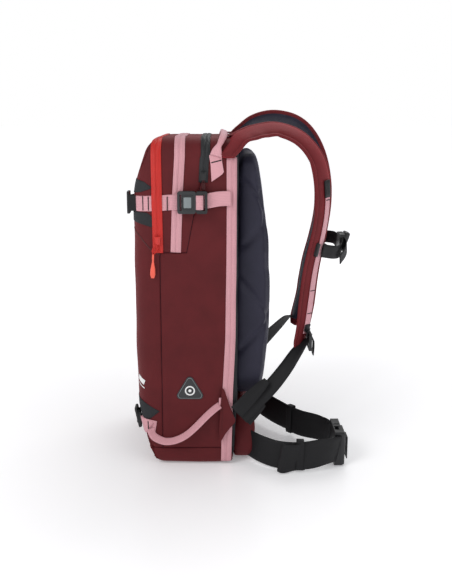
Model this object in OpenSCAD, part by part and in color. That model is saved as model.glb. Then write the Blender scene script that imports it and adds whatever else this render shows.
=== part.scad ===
// Ski backpack: a panelled fabric bag with a sheeted, padded back, a shoulder harness
// with sternum strap, a hip belt, ski straps, four zips and their sliders.
// Millimetres. Origin on the floor at the middle of the bag body; +Z up,
// +Y towards the wearer's back, +X towards the wearer's right hand.

/* [Bag body] */
// Height of the bag body
body_h = 562; // [550:1:575]
// Width of the bag body
body_w = 264; // [256:1:272]
// Thickness of a padded fabric wall
wall = 2.5; // [2:0.5:3]
// Gap left at a seam between two fabric panels
seam = 0.4; // [0.3:0.1:0.6]
// How far the flat front stands in front of the origin
front_reach = 88; // [86:1:90]
// How far the back wall stands behind the origin at the top
back_reach = 88; // [86:1:89]

/* [Zips and webbing] */
// Width of a zip with both its tapes
zip_w = 17; // [14:0.5:18]
// Width of the side compression webbing
web_w = 25; // [20:1:26]
// Thickness of webbing
web_t = 1.5; // [1.2:0.1:1.8]
// Height of the middle of the upper side straps
upper_strap_z = 459; // [450:1:462]
// Height of the middle of the lower front buckles
lower_strap_z = 78; // [72:1:90]

/* [Harness] */
// Width of a shoulder strap
strap_w = 62; // [55:1:66]
// Thickness of a shoulder strap's foam
strap_t = 11; // [9:0.5:12]
// Half the distance between the shoulder straps' middle lines
strap_x = 80; // [76:1:84]
// Extra height of the arch of the left shoulder strap
left_lift = 16; // [0:1:20]
// Width of the shoulder strap rails
rail_w = 10; // [8:1:12]

/* [Hip belt] */
// Width of the hip belt webbing
belt_w = 48; // [38:1:50]
// Thickness of the hip belt webbing
belt_t = 3; // [2:0.5:3.5]
// Height of the belt's lower edge above the floor
belt_z = 8; // [6:1:12]

/* [Hidden] */

// Colours
maroon = "#5a2528";
pink = "#d9a0a8";
red = "#d0392f";
coral = "#f06a55";
charcoal = "#3a4040";
navy = "#333340";
black = "#161616";
silver = "#b0b3b8";

arc_steps = 5;             // straight pieces in one rounded corner
side_x = body_w / 2;       // the flat of a side panel
reach = 700;               // longer than the whole bag, for cutting prisms
skin = 0.3;                // clearance under anything laid on the fabric
zip_t = 1.5;               // thickness of a zip laid on the fabric
webbing_low = skin + zip_t + 0.4;         // webbing lies above the zips
webbing_high = webbing_low + web_t;

// ---- Outlines made of corner circles [a, b, r], listed anticlockwise ----

// Angle of the outward normal of the straight line that joins two corner circles
function tangent(p, q) =
    let (d = [q[0] - p[0], q[1] - p[1]])
    atan2(d[1], d[0]) - 90 + asin((p[2] - q[2]) / norm(d));

function unwrapped(from, to) = to < from ? to + 360 : to;

// Points of one corner's arc, from the line that comes in to the line that goes out
function corner(before, here, after, grow) =
    let (start = tangent(before, here), end = unwrapped(start, tangent(here, after)))
    [for (k = [0:arc_steps])
        let (a = start + (end - start) * k / arc_steps)
        [here[0] + (here[2] + grow) * cos(a), here[1] + (here[2] + grow) * sin(a)]];

function rounded(circles, grow = 0) =
    let (n = len(circles))
    [for (i = [0:n - 1])
        each corner(circles[(i + n - 1) % n], circles[i], circles[(i + 1) % n], grow)];

// Mirror image of a list of corner circles, kept anticlockwise
function both_sides(circles) =
    concat(circles, [for (i = [len(circles) - 1:-1:0]) [-circles[i][0], circles[i][1], circles[i][2]]]);

// Side view of the bag as [y, z, r]
side_corners = [
    [back_reach - 20, 10, 10],
    [back_reach - 20, body_h - 20, 20],
    [-30, body_h - 36, 36],
    [50 - front_reach, 456, 50],
    [36 - front_reach, 110, 32],
    [-36, 24, 24]
];
// Front view of the bag as [x, z, r]
front_corners = both_sides([
    [side_x - 32, 32, 32],
    [side_x - 45, 120, 45],
    [side_x - 45, body_h - 45, 45]
]);
// Plan of the bag as [x, y, r]
plan_corners = both_sides([
    [side_x - 34, 34 - front_reach, 34],
    [side_x - 12, back_reach - 12, 12]
]);

// ---- Curves ----

function bezier_point(p, t) =
    pow(1 - t, 3) * p[0] + 3 * t * pow(1 - t, 2) * p[1] + 3 * t * t * (1 - t) * p[2] + pow(t, 3) * p[3];

// Points along a chain of cubic curves; each curve is four control points
function curve(chain, steps = 8) =
    [for (c = [0:len(chain) - 1]) for (k = [c == 0 ? 0 : 1:steps]) bezier_point(chain[c], k / steps)];

function direction(path, i) =
    let (a = path[max(i - 1, 0)], b = path[min(i + 1, len(path) - 1)]) (b - a) / norm(b - a);

// Outline of a ribbon laid along a path: one face at distance near, the other at far
function ribbon(path, near, far) =
    let (n = len(path),
         side = [for (i = [0:n - 1]) let (d = direction(path, i)) [-d[1], d[0]]])
    concat([for (i = [0:n - 1]) path[i] + near * side[i]],
           [for (i = [n - 1:-1:0]) path[i] + far * side[i]]);

// ---- Prisms ----

// A [y, z] outline carried along X
module along_x(points, x0 = -reach / 2, x1 = reach / 2)
    translate([x0, 0, 0]) rotate([90, 0, 90]) linear_extrude(x1 - x0) polygon(points);

// An [x, z] outline carried along Y
module along_y(points, y0 = -reach / 2, y1 = reach / 2)
    translate([0, y1, 0]) rotate([90, 0, 0]) linear_extrude(y1 - y0) polygon(points);

// The bag's outer form, grown evenly outwards
module bag(grow = 0)
    intersection() {
        along_x(rounded(side_corners, grow));
        along_y(rounded(front_corners, grow));
        translate([0, 0, -reach / 2]) linear_extrude(2 * reach) polygon(rounded(plan_corners, grow));
    }

module bag_shell(inside, outside)
    difference() {
        bag(outside);
        bag(inside);
    }

// A sheet that lies on the bag where a [y, z] outline passes through it
module laid_on(points, low = skin, high = skin + zip_t, x0 = -reach / 2, x1 = reach / 2)
    intersection() {
        bag_shell(low, high);
        along_x(points, x0, x1);
    }

module right_and_left() {
    children();
    mirror([1, 0, 0]) children();
}

// ---- Fabric panels ----

front_seam_y = -42;        // vertical seam between front and side fabric
boot_z = 32;               // seam of the bottom fabric
gusset_z = 375;            // lower end of the zipped gusset
back_seam_y = 79;          // where the side fabric meets the back wall
top_panel_z = 520;         // lowest point of the top panel
// The gusset that carries the two front zips, in side view
gusset_outline = [
    [front_seam_y, gusset_z], [2, gusset_z], [14, 436], [30, 508],
    [33, body_h + 20], [front_seam_y, body_h + 20]
];

module fabric(colour)
    color(colour) intersection() {
        bag_shell(-wall, 0);
        children();
    }

module beyond_y(y, far = reach)
    translate([-reach / 2, y, -reach / 2]) cube([reach, far, 2 * reach]);

module above_z(z)
    translate([-reach / 2, -reach / 2, z]) cube([reach, reach, reach]);

module front_panel()
    fabric(maroon) difference() {
        above_z(boot_z + seam);
        beyond_y(front_seam_y - seam);
    }

module gusset_panel()
    fabric(maroon) along_x(gusset_outline);

module side_panel()
    fabric(maroon) difference() {
        translate([seam, front_seam_y, boot_z + seam])
            cube([reach, back_seam_y - seam - front_seam_y, reach]);
        along_x([for (p = gusset_outline) p + [p[0] > 0 ? seam : -seam, p[1] > gusset_z ? 0 : -seam]]);
        translate([0, -reach / 2, top_panel_z]) cube([side_x - 50, reach, reach]);
    }

module side_panel_right() side_panel();
module side_panel_left() mirror([1, 0, 0]) side_panel();

module top_panel()
    fabric(maroon) difference() {
        translate([seam - side_x + 50, 0, top_panel_z])
            cube([body_w - 100 - 2 * seam, back_seam_y - seam, reach]);
        along_x([for (p = gusset_outline) p + [p[0] > 0 ? seam : -seam, 0]]);
    }

module bottom_panel()
    fabric(maroon) difference() {
        translate([-reach / 2, -reach / 2, -reach / 2])
            cube([reach, reach / 2 + back_seam_y - seam, reach / 2 + boot_z]);
    }

module back_wall()
    fabric(charcoal) beyond_y(back_seam_y);

// ---- Zips ----

tool_zip_y = -45;          // middle lines of the zips at their lower ends
main_zip_y = -16;
goggle_zip_y = 29;
back_zip_lean = 9;         // how much further back the back zip stands at its top
back_zip_y = 67;
back_zip_low = 4;
back_zip_high = 530;

// Side view of a zip that leans by lean from its low end to its high end
function zip_strip(y, low, high, lean = 0) =
    [[y - zip_w / 2, low], [y + zip_w / 2, low], [y + lean + zip_w / 2, high], [y + lean - zip_w / 2, high]];

module tool_pocket_zip() color(red) laid_on(zip_strip(tool_zip_y, gusset_z, body_h + 20));

module main_zip() color(pink) laid_on(zip_strip(main_zip_y, gusset_z, body_h + 20, 8));

module goggle_pocket_zip() color(charcoal) laid_on(zip_strip(goggle_zip_y, 490, body_h + 20, 5));

module back_access_zip()
    color(pink) laid_on(zip_strip(back_zip_y, back_zip_low, back_zip_high, back_zip_lean));

slider_w = 10;             // width of a zip slider
slider_l = 13;             // its length along the zip
slider_t = 3.5;            // its height above the zip
slider_x = side_x + skin + zip_t + 0.2;
pull_drop = 7;             // from the slider's middle down to the pull's hinge

// A slider on the right side: a tapered body with a bridge that holds the pull
module slider(y, z, colour)
    color(colour) translate([slider_x, y, z]) {
        rotate([90, 0, 90]) linear_extrude(slider_t)
            polygon([[-slider_w / 2, slider_l / 2], [slider_w / 2, slider_l / 2],
                     [slider_w * 0.3, -slider_l / 2], [-slider_w * 0.3, -slider_l / 2]]);
        translate([slider_t - 0.01, -1.5, -1]) cube([1.5, 3, 6]);
    }

// A pull that hangs under its slider: loop, cord and a tapered grip
module pull(y, z, colour, grip_colour, cord, grip) {
    x = slider_x + slider_t / 2;
    color(colour) translate([x, y, z - pull_drop - cord])
        rotate([90, 0, 90]) linear_extrude(2) translate([-1.5, 0]) square([3, cord - 0.6]);
    color(grip_colour) translate([x - 0.8, y, z - pull_drop - cord - grip])
        rotate([90, 0, 90]) linear_extrude(3.6)
            polygon([
                [-1.5, grip + 0.01], [1.5, grip + 0.01], [5, grip * 0.45],
                [4, 0], [-4, 0], [-5, grip * 0.45]
            ]);
}

tool_slider_z = 396;
goggle_slider_z = 500;
main_slider_z = 386;
back_slider_z = 200;
function back_zip_at(z) = back_zip_y + back_zip_lean * (z - back_zip_low) / (back_zip_high - back_zip_low);

module tool_zip_slider() slider(tool_zip_y, tool_slider_z, red);
module tool_zip_pull() pull(tool_zip_y, tool_slider_z, red, coral, 26, 24);
module goggle_zip_slider() slider(goggle_zip_y + 1, goggle_slider_z, black);
module goggle_zip_pull() pull(goggle_zip_y + 1, goggle_slider_z, maroon, maroon, 5, 7);
module main_zip_slider() mirror([1, 0, 0]) slider(main_zip_y, main_slider_z, black);
module main_zip_pull() mirror([1, 0, 0]) pull(main_zip_y, main_slider_z, maroon, maroon, 14, 14);
module back_zip_slider() mirror([1, 0, 0]) slider(back_zip_at(back_slider_z), back_slider_z, black);
module back_zip_pull()
    mirror([1, 0, 0]) pull(back_zip_at(back_slider_z), back_slider_z, maroon, maroon, 14, 14);

// ---- Side-release buckles, built along +X with the plug at the far end ----

buckle_gap = 0.5;          // play between plug and socket
// [webbing width, body width, thickness, socket length, plug length]
side_buckle = [web_w, 36, 10, 30, 18];
hip_buckle = [belt_w, 62, 14, 40, 26];
sternum_buckle = [20, 30, 9, 24, 15];

module rounded_block(l, w, t, r)
    linear_extrude(t, center = true)
        polygon(rounded([
            [l - r, -w / 2 + r, r], [l - r, w / 2 - r, r], [r, w / 2 - r, r], [r, -w / 2 + r, r]
        ]));

function prong_depth(size) = size[3] * 0.62;

module buckle_socket(size) {
    wide = size[1];
    thick = size[2];
    long = size[3];
    depth = prong_depth(size) + 2;
    color(black) difference() {
        rounded_block(long, wide, thick, 4);
        translate([long - depth, -wide / 2 + 4, -thick / 2 + 2]) cube([depth + 1, wide - 8, thick - 4]);
        // windows through which the prongs' shoulders are pressed
        translate([long - depth, -wide, -thick / 2 + 2]) cube([depth * 0.6, 2 * wide, thick - 4]);
        translate([4, -size[0] / 2 - 0.5, -thick]) cube([3, size[0] + 1, 2 * thick]);
    }
}

module buckle_plug(size) {
    wide = size[1];
    thick = size[2];
    long = size[4];
    deep = prong_depth(size);
    blade = thick - 4 - 2 * buckle_gap;
    prong = wide * 0.13;
    color(black) {
        difference() {
            rounded_block(long, wide, thick, 3);
            translate([long - 8, -size[0] / 2 - 0.5, -thick]) cube([4, size[0] + 1, 2 * thick]);
        }
        for (side = [-1, 1])
            translate([-deep, side * (wide / 2 - 4 - buckle_gap - prong / 2) - prong / 2, -blade / 2])
                cube([deep + 0.01, prong, blade]);
        translate([-deep * 0.8, -prong / 4, -blade / 2]) cube([deep * 0.8 + 0.01, prong / 2, blade]);
    }
}

// Lays a buckle on the right side, its length along +Y
module on_right_side(y, z, x)
    translate([x, y, z]) rotate([0, 90, 0]) rotate([0, 0, 90]) children();

// ---- Upper side straps ----

upper_buckle_y = -12;
upper_buckle_x = side_x + webbing_high + side_buckle[2] / 2 + 0.6;
upper_plug_y = upper_buckle_y + side_buckle[3] + buckle_gap;

// A stretch of side webbing between two places along Y, on both sides
module side_webbing(y0, y1, z) {
    strip = [[y0, z - web_w / 2], [y1, z - web_w / 2], [y1, z + web_w / 2], [y0, z + web_w / 2]];
    laid_on(strip, webbing_low, webbing_high, 95, reach / 2);
    laid_on(strip, webbing_low, webbing_high, -reach / 2, -95);
}

module upper_front_webbing()
    color(pink) {
        side_webbing(-100, tool_zip_y - zip_w / 2 - seam, upper_strap_z);
        side_webbing(tool_zip_y + zip_w / 2 + seam, upper_buckle_y - seam, upper_strap_z);
    }

module upper_rear_webbing()
    color(pink)
        side_webbing(upper_plug_y + side_buckle[4] + 2, back_zip_at(upper_strap_z), upper_strap_z + 4);

module upper_buckle_sockets()
    right_and_left() on_right_side(upper_buckle_y, upper_strap_z, upper_buckle_x) buckle_socket(side_buckle);

module upper_plug()
    on_right_side(upper_plug_y, upper_strap_z, upper_buckle_x) buckle_plug(side_buckle);

module upper_buckle_plug_right() upper_plug();
module upper_buckle_plug_left() mirror([1, 0, 0]) upper_plug();

// ---- Front buckles: flat two-bar frames that swing on their webbing ----

front_buckle_x = 110;      // hinge line of the front buckles
front_buckle_l = 26;
front_buckle_t = 4;
front_drop = 4;            // the front buckles hang this much below the side straps
upper_front_y = -front_reach - 6.5;
lower_front_y = -front_reach + 1;
lower_front_tilt = 12;     // the frame lies along the sloping front

module front_buckle()
    color(black) rotate([90, 0, 0]) rotate([0, 0, 180]) difference() {
        rounded_block(front_buckle_l, web_w + 12, front_buckle_t, 4);
        for (x = [5, 15])
            translate([x, -web_w / 2 - 1, -front_buckle_t]) cube([5, web_w + 2, 2 * front_buckle_t]);
    }

module upper_front_buckle()
    translate([front_buckle_x, upper_front_y, upper_strap_z - front_drop]) front_buckle();

module lower_front_buckle()
    translate([front_buckle_x, lower_front_y, lower_strap_z])
        rotate([lower_front_tilt, 0, 0]) front_buckle();

module front_buckle_upper_right() upper_front_buckle();
module front_buckle_upper_left() mirror([1, 0, 0]) upper_front_buckle();
module front_buckle_lower_right() lower_front_buckle();
module front_buckle_lower_left() mirror([1, 0, 0]) lower_front_buckle();

// ---- Patches, badge, lower ski straps, fins ----

module reinforcement_patches()
    color(charcoal) {
        wedges = [
            [[-100, 472], [tool_zip_y - zip_w / 2 - 1, 478], [-84, 494], [-100, 496]],
            [[-100, 446], [tool_zip_y - zip_w / 2 - 1, 424], [-80, 430], [-100, 440]],
            [[-100, 116], [-50, 94], [-66, 78], [-100, 78]]
        ];
        for (wedge = wedges) {
            laid_on(wedge, skin, skin + 0.8, 60, reach / 2);
            laid_on(wedge, skin, skin + 0.8, -reach / 2, -60);
        }
    }

badge_y = 5;
badge_z = 136;
badge_r = 16;              // from the badge's middle to a corner arc's centre
module side_badge()
    color(charcoal) translate([side_x + skin, badge_y, badge_z])
        rotate([90, 0, 90]) linear_extrude(1.2)
            polygon(rounded([for (a = [-30, 90, 210]) [badge_r * cos(a), badge_r * sin(a), 8]]));

// The loose strap hangs in a bow from the front buckle to the hip fin
strap_bow = curve([
    [[-74, 76], [-62, 62], [-50, 46], [-22, 48]],
    [[-22, 48], [10, 50], [30, 92], [60, 116]]
], 6);
bow_w = 18;
module lower_ski_straps()
    color(pink) right_and_left() {
        translate([side_x + webbing_low, 0, 0]) along_x(ribbon(strap_bow, -bow_w / 2, bow_w / 2), 0, web_t);
        laid_on([[-100, 66], [-75, 66], [-75, 92], [-100, 92]], webbing_low, webbing_high, 95, reach / 2);
    }

fin_outline = [[57, 137], [63, 137], [84, 88], [58, 46], [52, 50]];
module hip_fins()
    color(maroon) right_and_left()
        translate([side_x + webbing_high + 0.5, 0, 0]) along_x(fin_outline, 0, 4);

// ---- Haul handle ----

handle_w = 20;             // width of the handle webbing
handle_y = 51;             // middle of the handle webbing where it is sewn down
handle_z = body_h - 22;    // height of the fold where the loop leaves its tabs
handle_top = body_h + 17;
handle_lean = 25;          // how far the loop leans back at rest
tab_low = 487;

// Sewn tabs on the bag's sides, pointed at their lower ends
module haul_handle_tabs()
    color(pink) laid_on([
        [handle_y - handle_w / 2 + 4, tab_low], [handle_y + handle_w / 2 + 4, tab_low + 16],
        [handle_y + handle_w / 2, handle_z - 7], [handle_y - handle_w / 2, handle_z - 7]
    ], webbing_low, webbing_high);

// Right half of the loop as seen from the front
handle_half = curve([
    [[side_x, handle_z], [side_x - 1, handle_z + 20], [side_x - 14, handle_top], [side_x - 60, handle_top]],
], 6);
handle_left_half = [for (i = [len(handle_half) - 1:-1:0]) [-handle_half[i][0], handle_half[i][1]]];
module haul_handle()
    color(pink) translate([0, handle_y, handle_z]) rotate([-handle_lean, 0, 0])
        translate([0, 0, -handle_z])
            along_y(ribbon(concat(handle_half, handle_left_half), 0, web_t), -handle_w / 2, handle_w / 2);

// ---- Back: sheet, stays, pads ----

// Side view of the moulded back pad as [y, z, r]
pad_corners = [
    [88, 133, 6],
    [112, 140, 14],
    [98, 238, 39],
    [97, 320, 40],
    [101, 537, 6],
    [96, 537, 6]
];
pad_half_w = 108;
pad_skin = 2;
module pad_solid(grow)
    intersection() {
        along_x(rounded(pad_corners, grow));
        along_y(rounded(both_sides([[pad_half_w - 40, 166, 40], [pad_half_w - 30, 513, 30]]), grow));
    }

module back_pad_foam() color(charcoal) pad_solid(-pad_skin);

module back_pad_cover()
    color(navy) difference() {
        pad_solid(0);
        pad_solid(seam - pad_skin);
    }

module lumbar_pad()
    color(maroon) intersection() {
        along_x(rounded([[85, 20, 5], [104, 24, 9], [106, 60, 9], [92, 112, 5], [87, 112, 5]]));
        along_y(rounded(both_sides([[80, 35, 20], [84, 95, 20]])));
    }

sheet_t = 1.5;
sheet_y = back_reach - wall - 12;
module frame_sheet()
    color(black) translate([0, sheet_y, 0])
        along_y(rounded(both_sides([[80, 60, 20], [80, 490, 20]])), -sheet_t, 0);

module frame_stays()
    color(silver) right_and_left()
        translate([38, sheet_y - sheet_t - 3.2, 60]) cube([12, 3, 430]);

divider_y = -24;
// Cloth wall behind the tool pocket, with two sleeves for a probe and a shovel shaft sewn to its front
module tool_divider()
    color(charcoal) {
        translate([0, divider_y, 0]) along_y(rounded(both_sides([[90, 60, 20], [90, 480, 20]])), -1.5, 0);
        for (x = [-52, 20])
            translate([x, divider_y - 10, 70]) difference() {
                cube([44, 8, 240]);
                translate([1.5, 1.5, 1.5]) cube([41, 5, 260]);
            }
    }

module hydration_sleeve()
    color(charcoal) translate([0, sheet_y - sheet_t - 10, 0]) difference() {
        along_y(rounded(both_sides([[70, 100, 20], [70, 380, 20]])), -1.5, 0);
        translate([-12, -5, 352]) cube([24, 10, 20]);
    }

// ---- Shoulder harness ----

yoke_z = body_h + 0.8;
yoke_y = 62;               // front edge of the patch the straps are sewn to
yoke_w = strap_w - 8;      // clears the haul handle beside it
module yoke_anchor()
    color(maroon) right_and_left()
        translate([strap_x - strap_w / 2, yoke_y, yoke_z]) cube([yoke_w, 18, 2]);

strap_steps = 8;           // straight pieces in each of a strap's three curves
// Middle line of a strap in side view: over the arch, then down to its tip
function strap_path(lift) = curve([
    [[94, 556 + lift / 4], [112, 566 + lift], [130, 572 + lift], [152, 572 + lift]],
    [[152, 572 + lift], [202, 572 + lift], [230, 520 + lift / 2], [230, 462]],
    [[230, 462], [230, 390], [196, 300], [190, 200]]
], strap_steps);

module strap(lift)
    along_x(ribbon(strap_path(lift), -strap_t / 2, strap_t / 2), -strap_w / 2, strap_w / 2);

module shoulder_strap_right() color(maroon) translate([strap_x, 0, 0]) strap(0);
module shoulder_strap_left() color(maroon) translate([-strap_x, 0, 0]) strap(left_lift);

lining_t = 2;
module lining(lift)
    along_x(
        ribbon(strap_path(lift), -strap_t / 2 - lining_t, -strap_t / 2 - 0.2),
        3 - strap_w / 2, strap_w / 2 - 3
    );

module strap_lining()
    color(navy) {
        translate([strap_x, 0, 0]) lining(0);
        translate([-strap_x, 0, 0]) lining(left_lift);
    }

// The rail stands off the straight part of the strap's front face
rail_x = strap_x + 12;
rail_gap = strap_t / 2 + 4;
rail_line = [for (i = [2 * strap_steps + 1:3 * strap_steps - 2]) strap_path(0)[i]];
module strap_rails()
    color(pink) right_and_left()
        along_x(ribbon(rail_line, rail_gap, rail_gap + web_t), rail_x - rail_w / 2, rail_x + rail_w / 2);

// Ladder lock below the rail's lower end: a three-bar frame
lock_hinge = [212, 229];
lock_l = 30;
lock_t = 5;
module ladder_lock()
    color(black) translate([rail_x, lock_hinge[0], lock_hinge[1]]) rotate([0, 90, 0])
        rotate([90, 0, 0]) difference() {
            rounded_block(lock_l, web_w + 8, lock_t, 4);
            for (x = [5, 13, 21])
                translate([x, -web_w / 2, -lock_t]) cube([5, web_w, 2 * lock_t]);
        }

module ladder_lock_right() ladder_lock();
module ladder_lock_left() mirror([1, 0, 0]) ladder_lock();

// Adjuster webbing ends just short of the ladder lock, where the closed loop is opened
adjuster_path = [[118, 90], [164, 128], [204, 190]];
adjuster_anchor = [[90, 84], [116, 90.4]];   // tab sewn to the fin, from which the webbing starts
module adjuster_webbing()
    color(black) right_and_left() {
        along_x(ribbon(adjuster_path, -web_t, web_t), rail_x - web_w / 2, rail_x + web_w / 2);
        translate([strap_x + 30, 0, 0]) along_x(ribbon(adjuster_anchor, -14, 14), 0, 3);
    }

// ---- Sternum strap, which rides on the rails ----

sternum_spot = 2;          // place of the clips along the rail's points
sternum_rail = rail_line[sternum_spot];
sternum_dir = direction(rail_line, sternum_spot);
sternum_z = sternum_rail[1];
sternum_reach = 46;        // the buckle stands this far in front of the rails
sternum_y = sternum_rail[0] + rail_gap + sternum_reach;
clip_l = 16;               // length of a clip along the rail
clip_wall = 1.5;
clip_play = 1.6;           // room between the clip and the rail's faces
sternum_web_w = 20;

// A clip that wraps the rail with play on every side
module sternum_sliders()
    color(black) right_and_left()
        translate([rail_x, sternum_rail[0], sternum_rail[1]])
            rotate([atan2(sternum_dir[1], sternum_dir[0]) + 90, 0, 0])
                translate([0, rail_gap + web_t / 2, 0]) difference() {
                    cube([rail_w + 8, 2 * (clip_play + clip_wall) + web_t, clip_l], center = true);
                    cube([rail_w + 3, 2 * clip_play + web_t, 2 * clip_l], center = true);
                }

buckle_half = (sternum_buckle[3] + sternum_buckle[4]) / 2;
// Right half of the strap in plan, from the clip to the buckle's end bar
sternum_path = curve([
    [[rail_x - 8, sternum_y - sternum_reach + 10], [rail_x - 24, sternum_y - sternum_reach / 3],
     [buckle_half + 34, sternum_y], [buckle_half + 3, sternum_y]]
], 8);
module sternum_half()
    color(black) translate([0, 0, sternum_z - sternum_web_w / 2])
        linear_extrude(sternum_web_w) polygon(ribbon(sternum_path, -web_t / 2, web_t / 2));

module sternum_plug_webbing() sternum_half();
module sternum_webbing() mirror([1, 0, 0]) sternum_half();

module at_sternum(x)
    translate([x, sternum_y, sternum_z]) rotate([90, 0, 0]) children();

module sternum_socket() at_sternum(-buckle_half) buckle_socket(sternum_buckle);

module sternum_plug()
    at_sternum(-buckle_half + sternum_buckle[3] + buckle_gap) buckle_plug(sternum_buckle);

// ---- Hip belt ----

belt_buckle = [72, 262];   // plug end of the buckle in plan
belt_mid_z = belt_z + belt_w / 2;
hip_len = hip_buckle[3] + hip_buckle[4] + buckle_gap;
right_wing = curve([
    [[108, 122], [132, 130], [152, 160], [156, 190]],
    [[156, 190], [160, 222], [158, 262], [belt_buckle[0] + hip_len + 1.5, belt_buckle[1]]]
], 8);
left_wing = curve([
    [[-108, 127], [-66, 140], [-20, 162], [10, 190]],
    [[10, 190], [34, 214], [50, 262], [belt_buckle[0] - 8, belt_buckle[1]]]
], 8);
module wing(path)
    color(black) translate([0, 0, belt_z]) linear_extrude(belt_w)
        polygon(ribbon(path, -belt_t / 2, belt_t / 2));

module hip_wing_right() wing(right_wing);
module hip_wing_left() wing(left_wing);

// A folded keeper sits round the webbing of each wing
keeper_l = 12;
module keeper(spot, angle)
    color(black) translate([spot[0], spot[1], belt_z - 2]) rotate([0, 0, angle]) difference() {
        translate([-keeper_l / 2, -5, 0]) cube([keeper_l, 10, belt_w + 4]);
        translate([-keeper_l, -3, 1.5]) cube([2 * keeper_l, 6, belt_w + 1]);
    }

module hip_keeper_right() keeper(right_wing[8], 90);
module hip_keeper_left() keeper(left_wing[8], 45);

module at_hip(x)
    translate([x, belt_buckle[1], belt_mid_z]) rotate([90, 0, 0]) rotate([0, 0, 180]) children();

module hip_socket() at_hip(belt_buckle[0] + hip_len) buckle_socket(hip_buckle);
module hip_plug() at_hip(belt_buckle[0] + hip_buckle[4]) buckle_plug(hip_buckle);

front_panel();
gusset_panel();
side_panel_right();
side_panel_left();
top_panel();
bottom_panel();
back_wall();
tool_pocket_zip();
main_zip();
goggle_pocket_zip();
back_access_zip();
reinforcement_patches();
side_badge();
upper_front_webbing();
upper_rear_webbing();
upper_buckle_sockets();
upper_buckle_plug_right();
upper_buckle_plug_left();
front_buckle_upper_right();
front_buckle_upper_left();
front_buckle_lower_right();
front_buckle_lower_left();
lower_ski_straps();
hip_fins();
haul_handle_tabs();
haul_handle();
yoke_anchor();
back_pad_foam();
back_pad_cover();
lumbar_pad();
frame_sheet();
frame_stays();
tool_divider();
hydration_sleeve();
adjuster_webbing();
tool_zip_slider();
tool_zip_pull();
goggle_zip_slider();
goggle_zip_pull();
main_zip_slider();
main_zip_pull();
back_zip_slider();
back_zip_pull();
shoulder_strap_right();
shoulder_strap_left();
strap_lining();
strap_rails();
ladder_lock_right();
ladder_lock_left();
sternum_sliders();
sternum_webbing();
sternum_plug_webbing();
sternum_socket();
sternum_plug();
hip_wing_right();
hip_wing_left();
hip_keeper_right();
hip_keeper_left();
hip_socket();
hip_plug();
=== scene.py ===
"""Looks of a ski backpack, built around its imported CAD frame. All lengths are in metres."""
import math

import bmesh
import bpy
import numpy as np
from mathutils import Matrix, Vector


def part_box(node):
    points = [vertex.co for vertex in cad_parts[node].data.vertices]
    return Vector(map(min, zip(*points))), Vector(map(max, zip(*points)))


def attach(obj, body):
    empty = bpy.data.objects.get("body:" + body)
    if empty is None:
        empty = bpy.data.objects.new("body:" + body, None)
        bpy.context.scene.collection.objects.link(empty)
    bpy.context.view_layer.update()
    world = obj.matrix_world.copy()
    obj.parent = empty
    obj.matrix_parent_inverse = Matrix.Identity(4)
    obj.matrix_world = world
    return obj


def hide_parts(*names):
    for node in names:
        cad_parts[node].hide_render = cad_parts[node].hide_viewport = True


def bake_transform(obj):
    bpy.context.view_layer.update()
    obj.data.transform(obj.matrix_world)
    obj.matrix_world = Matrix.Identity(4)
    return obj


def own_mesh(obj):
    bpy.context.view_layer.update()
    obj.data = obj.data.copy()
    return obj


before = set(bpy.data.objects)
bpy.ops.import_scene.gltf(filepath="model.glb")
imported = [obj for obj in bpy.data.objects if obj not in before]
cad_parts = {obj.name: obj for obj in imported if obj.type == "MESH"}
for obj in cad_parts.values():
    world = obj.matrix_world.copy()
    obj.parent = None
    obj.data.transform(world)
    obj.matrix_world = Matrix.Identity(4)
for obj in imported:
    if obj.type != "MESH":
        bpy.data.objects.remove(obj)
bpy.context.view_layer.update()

MM = 0.001


def low(node):
    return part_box(node)[0]


def high(node):
    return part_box(node)[1]


def middle(node):
    return (low(node) + high(node)) / 2


# ---------------------------------------------------------------- node materials


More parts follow.
